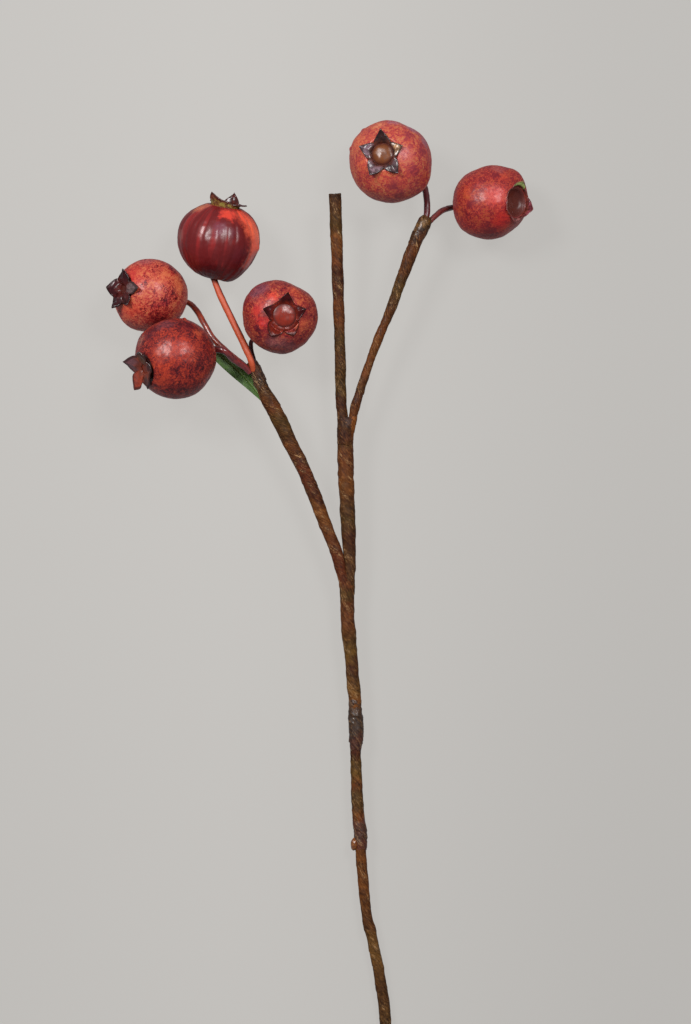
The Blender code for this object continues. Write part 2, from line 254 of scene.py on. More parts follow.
def combineVectors(tree, operation, *values):
    made = addNode(tree, "VectorMath", dict(enumerate(values)), operation=operation)
    return made.outputs["Value" if operation == "DISTANCE" else "Vector"]


def mixColour(tree, factor, a, b, blend="MIX"):
    made = addNode(tree, "Mix", {0: factor, 6: a, 7: b}, data_type="RGBA", blend_type=blend)
    return made.outputs[2]


def tint(tree, colour, code, mask, low=None, high=None, most=1.0):
    # another colour over the first, up to most, where the mask goes from low to high
    if low is not None:
        mask = remap(tree, mask, low, high, 0.0, most)
    return mixColour(tree, mask, colour, rgba(code))


def toneRamp(tree, value, stops):
    # colours placed along a value, from (place, colour) pairs
    made = addNode(tree, "ValToRGB", {"Fac": value})
    band = made.color_ramp
    band.elements.remove(band.elements[1])
    band.elements[0].position, band.elements[0].color = stops[0][0], rgba(stops[0][1])
    for at, code in stops[1:]:
        band.elements.new(at).color = rgba(code)
    return made.outputs["Color"]


def bumpsOf(tree, height, strength, depth, below=None):
    # bumps up to that depth in millimetres, over the ones below
    inputs = {"Height": height, "Strength": strength, "Distance": depth * mm}
    if below is not None:
        inputs["Normal"] = below
    return addNode(tree, "Bump", inputs).outputs["Normal"]


def plugIn(material, colour=None, rough=None, bumps=None, glow=None):
    tree = material.node_tree
    sockets = {"Base Color": colour, "Roughness": rough, "Normal": bumps,
               "Emission Strength": glow}
    for key, value in sockets.items():
        if value is not None:
            tree.links.new(value, tree.nodes["Principled BSDF"].inputs[key])
    return material


# Tape-wrapped stems. A route's points are x, y, z and radius; tones are placed by y

tape = {
    "olive": "412e0f", "umber": "41240f", "rust": "582a0f", "redBrown": "56200f",
    "maroon": "35120a", "wine": "370f0b", "tan": "66451b", "orange": "663711",
    "dark": "200f07", "slate": "28190b", "straw": "5e4318",
    "brown": "40250f", "blend": 0.35,      # each tone leans this much to the common brown
    # the pale tone is for creases and worn edges, partly painted glints
    "creaseAndGlintTone": "b48c60", "blotAndShadeTone": "24140d",
    # the dark tone above is for blots and for painted shade under each overlap
    "shadowTone": "78645a", "lightTone": "d89a58", "light": 0.16,      # dark and light streaks
    "turn": 0.42,                          # how fast the tape winds round, radians for each mm
    "stretch": 0.34,                       # less than 1 draws the grain out along the stem
    "wander": 0.45,                        # how far an overlap strays, in widths of the tape
    "streakSize": 0.30, "blotSize": 1.0, "foldSize": 0.55, "foldSharpness": 4.5,
}
tapeFinishes = {
    "stem_tape": {"coat": 0.02, "gloss": 0.13, "roughness": (0.50, 0.70)},
    "wrap_tape": {"coat": 0.35, "gloss": 0.30, "roughness": (0.34, 0.54)},
    "knot_tape": {"coat": 0.15, "gloss": 0.25, "roughness": (0.40, 0.60)},
}

stems = {
    "main_stem": {
        "route": [(11.8, -139.5, 1.5, 1.5), (11, -122, 1.7, 1.55), (10.1, -114, 1.9, 1.6),
            (8.3, -103.5, 2.5, 1.45), (5.8, -92, 3.1, 1.5), (4.3, -77, 3.7, 1.45),
            (4.1, -72, 3.95, 1.35), (3.7, -67, 4.15, 1.4), (3.35, -63.5, 4.3, 1.6),
            (2.8, -52, 4.7, 1.6), (2.65, -46, 4.9, 1.42), (2.6, -40, 5.1, 1.42),
            (2.5, -33.5, 5.35, 1.65), (2.2, -29, 5.6, 1.75), (1.6, -22, 5.9, 1.75),
            (0.8, -14, 6.3, 1.95), (0.4, -7, 6.6, 1.9), (0.95, 2.5, 7.1, 1.6),
            (0.95, 6.5, 7.3, 1.7), (0.85, 10.5, 7.5, 1.85), (0.3, 22.5, 8.1, 2.05),
            (-0.2, 35.5, 8.7, 2.2), (-0.2, 43, 9, 1.9)],
        "tones": [(-139, "umber"), (-125, "olive"), (-112, "umber"), (-103, "tan"), (-99, "tan"),
            (-96, "umber"), (-85, "orange"), (-74, "orange"), (-66, "redBrown"), (-64, "orange"),
            (-60, "olive"), (-56, "rust"), (-52, "straw"), (-49, "olive"), (-46, "wine"),
            (-36, "slate"), (-33, "orange"), (-29, "tan"), (-26, "umber"), (-23, "maroon"),
            (-20, "straw"), (-16, "olive"), (-11, "rust"), (-6, "rust"), (-2, "olive"),
            (3, "umber"), (8, "umber"), (12, "maroon"), (17, "olive"), (22, "umber"),
            (27, "orange"), (32, "rust"), (36, "rust"), (39, "olive"), (43, "umber")],
        "edge": 0.15, "crease": 0.14, "lump": 0.22, "spacing": 5.5, "seed": 1,
    },
    "centre_twig": {
        "route": [(-0.85, 42.6, 9.2, 1.5), (-1, 46.8, 9.4, 1.45), (-1.4, 50.5, 9.6, 1.5),
            (-1.6, 62, 10.4, 1.5), (-2.1, 78.5, 11.5, 1.55), (-2.6, 94.5, 12.7, 1.65),
            (-3, 106.6, 13.5, 1.75)],
        "tones": [(43, "umber"), (50, "maroon"), (54, "olive"), (62, "umber"), (66, "olive"),
            (72, "rust"), (77, "rust"), (80, "wine"), (85, "maroon"), (88, "rust"), (94, "orange"),
            (97, "olive"), (104, "umber"), (107, "dark")],
        "edge": 0.1, "crease": 0.13, "lump": 0.16, "spacing": 4.8, "seed": 2, "torn": 0.55,
    },
    "right_twig": {
        "route": [(1.3, 42.4, 9.3, 1), (2.1, 46.9, 9.5, 1.2), (2.6, 48.8, 9.6, 1.3),
            (4.7, 55.5, 10, 1.2), (8.1, 65.2, 10.6, 1.2), (12.2, 75, 11.3, 1.3),
            (15.6, 84.5, 12.1, 1.6), (18.2, 91.4, 12.6, 1.75), (20, 96, 12.7, 1.75)],
        "tones": [(44, "orange"), (48, "rust"), (51, "maroon"), (54, "umber"), (58, "rust"),
            (64, "orange"), (70, "rust"), (76, "umber"), (80, "olive"), (85, "umber"),
            (90, "rust"), (96, "dark")],
        "edge": 0.13, "crease": 0.14, "lump": 0.2, "spacing": 5, "seed": 3,
    },
    "left_branch": {
        "route": [(-0.4, -1.8, 7.4, 1.1), (-0.6, 0.3, 7.9, 1.3), (-1.4, 3.6, 8.1, 1.45),
            (-2.5, 7.9, 8.3, 1.55), (-4, 11.9, 8.5, 1.65), (-5.5, 15.7, 8.7, 1.75),
            (-10.6, 29, 9.8, 1.85), (-15.4, 38.8, 10.6, 1.95), (-18.5, 45.4, 11.2, 2.15),
            (-22, 51.8, 11.8, 1.85), (-24, 56, 12.3, 1.4)],
        "tones": [(0, "redBrown"), (8, "redBrown"), (14, "rust"), (17, "orange"), (21, "orange"),
            (23, "maroon"), (30, "redBrown"), (34, "maroon"), (37, "rust"), (41, "umber"),
            (44, "olive"), (48, "rust"), (52, "umber"), (56, "dark")],
        "edge": 0.15, "crease": 0.15, "lump": 0.22, "spacing": 6, "seed": 4,
    },
}


def toneAlong(look, heights, points):
    # colours named along the stem, blended where they meet by ragged edges
    seed, stops = look["seed"], look["tones"]
    where = heights + clouds(points, seed, (2.4, 3.2, 20), (1.4, 1.1, 30))
    colours = np.array([linear(tape[name]) for _, name in stops])
    colours += (linear(tape["brown"]) - colours) * tape["blend"]
    at = [y for y, _ in stops]
    tone = np.stack([np.interp(where, at, colours[:, part]) for part in range(3)], -1)
    if "right" in look:
        name, low, high = look["right"]      # another colour on the right hand side
        share = ramp(points[..., 0] + 0.3 * cloud(points, 1.0, seed + 33), low, high)[..., None]
        tone = tone + (linear(tape[name]) - tone) * share
    return tone * (1 + clouds(points, seed, (0.40, 2.0, 31), (0.20, 0.8, 32)))[..., None]


def tapeRelief(along, angle, radius, points, look):
    # height of the tape's overlaps and creases, with the layers its material reads
    seed = look["seed"]
    unwound = angle - look.get("turn", tape["turn"]) * along
    wound = circle(unwound, along * tape["stretch"], radius)
    wave = cloud(points, 3.0, seed)
    phase = (along / look["spacing"] - 2 * angle / fullTurn
             + tape["wander"] * wave + 0.15 * cloud(points, 1.0, seed + 2))
    part = phase % 1.0                       # how far across the tape, 0 at its upper edge
    strength = ramp(cloud(points, 5.0, seed + 3), -0.25, 0.3)
    overlap = look["edge"] * strength * (ramp(part, 0.0, 0.06) * (1 - part) - 0.3)
    folds = np.abs(cloud(wound, tape["foldSize"], seed + 5)) * tape["foldSharpness"]
    creases = np.clip(0.6 - folds, 0, 1) * ramp(cloud(points, 1.6, seed + 6), 0.0, 0.4)
    lumps = look["lump"] * clouds(points, seed, (1, 4.5, 8), (0.5, 1.8, 9))
    height = overlap + look["crease"] * creases + lumps + 0.04 * cloud(wound, 0.3, seed + 12)
    # the edge layer marks tape edges and creases, which the material paints paler as wear and as
    # painted glints; the shade layer marks where it paints shade under each overlap
    edge = bell(part, 0.05, 0.03) * strength * ramp(wave, -0.1, 0.3)
    return height, {"wound": wound, "edge": np.clip(0.7 * edge + creases, 0, 1),
                    "shade": bell(part, 0.99, 0.025) * strength}


def tapeMaterial(name):
    finish = tapeFinishes[name]
    material, tree = newMaterial(name, {"Coat Weight": finish["coat"], "Coat Roughness": 0.16,
                                        "Specular IOR Level": finish["gloss"]})
    where, tone = layerOf(tree, "wound", "Vector"), layerOf(tree, "tone", "Color")
    streaks = speckle(tree, where, tape["streakSize"], 5, 0.7, 0.4)
    blots = speckle(tree, where, tape["blotSize"], 4, 0.6, 0.3)
    darker = mixColour(tree, 1.0, tone, rgba(tape["shadowTone"]), "MULTIPLY")
    lighter = tint(tree, tone, tape["lightTone"], tape["light"])
    colour = mixColour(tree, remap(tree, streaks, 0.50, 0.34), tone, darker)
    colour = mixColour(tree, remap(tree, streaks, 0.53, 0.68), colour, lighter)
    colour = tint(tree, colour, tape["blotAndShadeTone"], blots, 0.46, 0.34, 0.45)
    # pale lines where the paper is creased, in patches: partly the creased paper's wear, partly
    # painted glints
    folds = speckle(tree, where, 0.75, 2, 0.5, 0.9)
    thin = combine(tree, "ABSOLUTE", combine(tree, "SUBTRACT", folds, 0.5))
    patches = remap(tree, speckle(tree, where, 2.2, 2, 0.5), 0.50, 0.60)
    pale = combine(tree, "MULTIPLY", remap(tree, thin, 0.032, 0.004), patches)
    colour = tint(tree, colour, tape["creaseAndGlintTone"], combine(tree, "MULTIPLY", pale, 0.5))
    # painted shade under each overlap; its edge paler, partly wear and partly painted glint
    colour = tint(tree, colour, tape["blotAndShadeTone"], layerOf(tree, "shade"), 0.1, 1.0, 0.7)
    wornEdgeAndGlint = combine(tree, "MULTIPLY", layerOf(tree, "edge"), remap(tree, streaks, 0.40, 0.56))
    colour = tint(tree, colour, tape["creaseAndGlintTone"], wornEdgeAndGlint, 0.15, 0.9, 0.55)
    bumps = bumpsOf(tree, pale, 0.5, 0.12, bumpsOf(tree, streaks, 0.6, 0.14))
    return plugIn(material, colour, remap(tree, blots, 0.3, 0.7, *finish["roughness"]), bumps)


def tearEnd(rings, outward, amount, seed, reach=8):
    # push the last rings in and out along the stem, as if it was snapped off
    spots = circle(roundAngles(rings.shape[1]))
    jag = amount * clouds(spots, seed, (1, 0.55, 0), (0.6, 0.25, 1))
    for back in range(reach):
        rings[-1 - back] += outward * (jag * (1 - back / reach) ** 2)[:, None]
    return rings


def makeStem(name, look, material, sides=56, step=0.28):
    route = smoothRoute(look["route"], step)
    angle, along, ray, outward = tubeRays(route, sides)
    centre, radius = route["centre"][:, None], route["radius"][:, None] + 0 * angle
    skin = centre + ray * radius[..., None]
    height, layers = tapeRelief(along, angle, radius, skin, look)
    layers["tone"] = toneAlong(look, skin[..., 1], skin)
    rings = centre + ray * (radius + height)[..., None]
    if "torn" in look:
        rings = tearEnd(rings, outward, look["torn"], look["seed"] + 60)
    item = ringMesh(name + "_tape", aboveTable(closeEnds(rings)), padLayers(layers))
    finishPiece(item, name, material)


stemTape = tapeMaterial("stem_tape")
for name, look in stems.items():
    makeStem(name, look, stemTape)
print("stems wound")


# Wraps of tape: each hugs one rod, or two that come together. Taper is how much of its length
# each end thins over, fit how softly it bridges from rod to rod

wraps = {
    "lower_fork_wrap": {
        "rods": ([(0.6, -12, 6.5, 1.8), (0.45, -8.7, 6.6, 1.8), (0.3, -4.6, 6.8, 1.85),
            (0.45, -1.9, 7, 1.7), (0.95, 1, 7.1, 1.6), (0.95, 3, 7.2, 1.6)], [(0.5, -10, 6.9, 1),
            (0.1, -5, 7.3, 1.2), (-0.3, -1.9, 7.6, 1.3), (-0.7, 1, 7.9, 1.3), (-1.2, 3, 8, 1.4)]),
        "span": (-9.4, 0.5), "thick": 0.16, "fit": 0.35,
        "tones": [(-9, "rust"), (-6, "rust"), (-4, "olive"), (-2, "rust"), (1, "umber")],
        "edge": 0.08, "crease": 0.2, "lump": 0.14, "spacing": 3.4, "turn": 0.2, "seed": 11,
    },
    "upper_fork_wrap": {
        "rods": ([(-0.2, 37, 8.9, 2.2), (-0.2, 42, 9, 2.15), (-0.7, 45.5, 9.3, 1.6),
            (-1.1, 48.5, 9.5, 1.45)], [(0.4, 37, 9.1, 1.2), (1, 42, 9.3, 1.25),
            (1.8, 45.5, 9.5, 1.25), (2.5, 48.5, 9.6, 1.25)]),
        "span": (38.2, 45.7), "taper": (0.5, 0.12), "thick": 0.12, "fit": 0.22,
        "tones": [(38, "umber"), (40.5, "maroon"), (43, "dark"), (45, "maroon"), (46, "umber")],
        "right": ("orange", 1.1, 1.9), "edge": 0.14, "crease": 0.2, "lump": 0.22, "spacing": 3.4,
        "turn": 0.3, "seed": 12,
    },
    "splice_wrap": {
        "rods": ([(2.65, -50, 4.8, 1.45), (2.7, -45.5, 4.95, 1.5), (2.9, -41.5, 5.1, 1.85),
            (2.75, -37.5, 5.2, 1.85), (2.5, -34, 5.35, 1.65), (2.3, -30, 5.5, 1.65)],),
        "span": (-46.2, -32.4), "taper": (0.14, 0.5), "thick": 0.16, "fit": 0.3,
        "tones": [(-46.5, "wine"), (-43.5, "wine"), (-41.5, "dark"), (-39, "slate"),
            (-35.5, "slate"), (-33, "umber")],
        "edge": 0.3, "crease": 0.26, "lump": 0.18, "spacing": 3.2, "turn": 0.5, "seed": 13,
    },
    "tail_wrap": {
        "rods": ([(4.2, -76, 3.8, 1.45), (4.05, -72, 4, 1.6), (4, -69, 4.1, 1.66),
            (3.6, -66, 4.2, 1.6), (3.3, -61, 4.4, 1.55)],),
        "span": (-73.9, -63.6), "taper": (0.16, 0.4), "thick": 0.16, "fit": 0.3,
        "tones": [(-74, "redBrown"), (-71, "wine"), (-69, "maroon"), (-66, "redBrown"),
            (-65, "orange")],
        "edge": 0.24, "crease": 0.22, "lump": 0.16, "spacing": 3.4, "turn": 0.4, "seed": 14,
    },
}


def wrapRings(look, ray, step=0.22):
    low, high = look["span"]
    first, last = look.get("taper", (0.16, 0.16))
    heights = np.linspace(low, high, int((high - low) / step))
    rods = [smoothRoute(points, 0.3) for points in look["rods"]]
    rings = []
    for y in heights:
        cuts = [atHeight(rod, y) for rod in rods]
        reach = np.array([ray @ centre + radius for centre, radius in cuts])
        weight = np.exp((reach - reach.max(axis=0)) / look["fit"])
        weight /= weight.sum(axis=0)
        ring = sum(share[:, None] * (centre + ray * radius)
                   for share, (centre, radius) in zip(weight, cuts))
        part = (y - low) / (high - low)
        full = ramp(part, 0, first) * ramp(1 - part, 0, last)
        ring = ring + ray * look["thick"] * (0.2 + 0.8 * full)
        ring[:, 1] = y
        rings.append(ring)
    return np.array(rings), heights[:, None]


def makeWrap(name, look, material, sides=72):
    angle = roundAngles(sides)
    ray = circle(angle)[:, (0, 2, 1)]        # round the y axis
    rings, heights = wrapRings(look, ray)
    along, turned = heights + 0 * angle, angle + 0 * heights
    radius = np.linalg.norm(rings - rings.mean(axis=1, keepdims=True), axis=2)
    height, layers = tapeRelief(along, turned, radius, rings, look)
    low, high = look["span"]
    fade = np.abs(2 * (along - low) / (high - low) - 1)     # 0 half way along, 1 at both ends
    height = height * (1 - 0.8 * ramp(fade, 0.85, 1.0))
    ragged = 0.7 * cloud(rings * (1, 0, 1) + (0, 3.0, 0), 1.4, look["seed"] + 40)
    rings = rings + ray[None] * height[..., None]
    rings[..., 1] += ragged * fade ** 4
    layers["tone"] = toneAlong(look, rings[..., 1], rings)
    rings = closeEnds(rings, ((0.97, 0.05), (0.88, 0.03)))
    item = ringMesh(name + "_tape", rings, padLayers(layers))
    finishPiece(item, name, material)


wrapTape = tapeMaterial("wrap_tape")
for name, look in wraps.items():
    makeWrap(name, look, stemTape if "fork" in name else wrapTape)
print("forks and splice wrapped")


# Knots that hold the stalks

knots = {
    "left_cluster_binding": {
        "route": [(-22.9, 53.4, 12, 1.5), (-23.6, 55, 12.2, 1.75), (-24.4, 57.2, 12.4, 1.8),
            (-25.2, 59.2, 12.7, 1.7), (-25.9, 60.8, 12.9, 1.2)],
        "tones": [(53, "umber"), (54.5, "dark"), (57, "dark"), (58.5, "maroon"), (61, "wine")],
        "edge": 0.3, "crease": 0.34, "lump": 0.34, "spacing": 1.7, "turn": 0.2, "seed": 21,
    },
    "right_cluster_binding": {
        "route": [(18.6, 92.4, 12.6, 1.5), (19.6, 95, 12.7, 1.8), (20.8, 97.6, 12.7, 1.95),
            (21.7, 99.6, 12.6, 1.8), (22.1, 100.6, 12.6, 1.2)],
        "tones": [(92, "umber"), (94, "rust"), (96, "dark"), (98.2, "tan"), (99.4, "olive"),
            (101, "wine")],
        "edge": 0.14, "crease": 0.2, "lump": 0.2, "spacing": 3, "turn": 0.3, "seed": 22,
    },
}

knotTape = tapeMaterial("knot_tape")
for name, look in knots.items():
    makeStem(name, look, knotTape, sides=72, step=0.2)
print("knots tied")


# Stalks. Thin is each one's share of its route's radius; edge paints shade along one long side

stalks = {
    "left_stalk_upper": {
        "route": [(-25.3, 58.4, 13.6, 1), (-25.9, 60.8, 14.7, 1.1), (-27.7, 65, 14.4, 1.2),
            (-30.9, 71.6, 13.6, 1.15), (-34.1, 78.2, 12.6, 1.15), (-35.6, 81.8, 12, 1.05)],
        "body": "a6421e", "dark": "96341c", "tip": "4a1a12", "roughness": 0.55, "coat": 0.02,
        "mottle": 0.3, "thin": 0.8, "seed": 31, "edge": "5a1416",
    },
    "left_stalk_outer": {
        "route": [(-26.2, 57.9, 11.9, 1), (-27.8, 59.7, 11.4, 1.05), (-32.9, 63.8, 10.6, 1.1),
            (-36.5, 67.3, 9.6, 1.1), (-39.2, 71.7, 8, 1.1), (-41.4, 75.4, 5.4, 1.1),
            (-43.8, 77.6, 3.2, 1)],
        "body": "7c2e1c", "dark": "4a120f", "tip": "3a120f", "roughness": 0.36, "coat": 0.4,
        "mottle": 0.9, "thin": 0.76, "seed": 32,
    },
    "left_stalk_front": {
        "route": [(-26.3, 57.9, 13.3, 1), (-28, 59.5, 14.3, 1.05), (-30.6, 61.2, 16, 1.1),
            (-33.4, 63.6, 18.3, 1.1)],
        "body": "6c2424", "dark": "3c1216", "tip": "3a1414", "roughness": 0.3, "coat": 0.5,
        "mottle": 0.8, "thin": 0.85, "seed": 33,
    },
    "left_stalk_inner": {
        "route": [(-24.5, 59, 12, 0.7), (-25.3, 61.4, 11.4, 0.75), (-26.1, 64.6, 10.6, 0.75),
            (-25.9, 66.7, 9.2, 0.75), (-24.1, 67.8, 7.2, 0.75), (-21.6, 70, 5.2, 0.8)],
        "body": "3c1214", "dark": "260c0e", "tip": "2c0e10", "roughness": 0.35, "coat": 0.4,
        "mottle": 0.6, "thin": 0.8, "seed": 34,
    },
    "right_stalk_inner": {
        "route": [(21, 98.6, 12.9, 0.9), (22.1, 101, 12.5, 1), (22.2, 105.2, 11.2, 1),
            (21.4, 109.4, 8, 1), (18.6, 112, 4.8, 1)],
        "body": "4e1619", "dark": "341013", "tip": "3a1014", "roughness": 0.4, "coat": 0.3,
        "mottle": 0.7, "thin": 0.88, "seed": 35,
    },
    "right_stalk_outer": {
        "route": [(21.6, 98, 11.5, 0.9), (23.8, 100.2, 10.8, 1), (26.2, 102.4, 8.2, 1),
            (28, 103.4, 5.6, 1), (29.8, 104, 3.4, 1)],
        "body": "6c2b26", "dark": "44161a", "tip": "4a1a1a", "roughness": 0.4, "coat": 0.3,
        "mottle": 0.8, "thin": 0.78, "seed": 36,
    },
}


def stalkMaterial(name, look):
    material, tree = newMaterial(name, {"Coat Weight": look["coat"], "Coat Roughness": 0.2})
    where = layerOf(tree, "wound", "Vector")
    streaks = speckle(tree, where, 0.5, 4, 0.6)
    amount = remap(tree, streaks, 0.42, 0.62, 0.0, look["mottle"])
    colour = mixColour(tree, amount, rgba(look["body"]), rgba(look["dark"]))
    # painted shade along one long side
    if "edge" in look:
        side = addNode(tree, "SeparateXYZ", {0: where}).outputs["X"]
        side = combine(tree, "MULTIPLY_ADD", streaks, 0.5, side)
        colour = tint(tree, colour, look["edge"], side, 0.75, 1.15, 0.85)
    # the tip colour paints the shadow where the stalk runs in under its hip
    colour = tint(tree, colour, look["tip"], layerOf(tree, "tip"))
    rough = remap(tree, streaks, 0.3, 0.7, look["roughness"] - 0.08, look["roughness"] + 0.1)
    return plugIn(material, colour, rough, bumpsOf(tree, streaks, 0.25, 0.1))
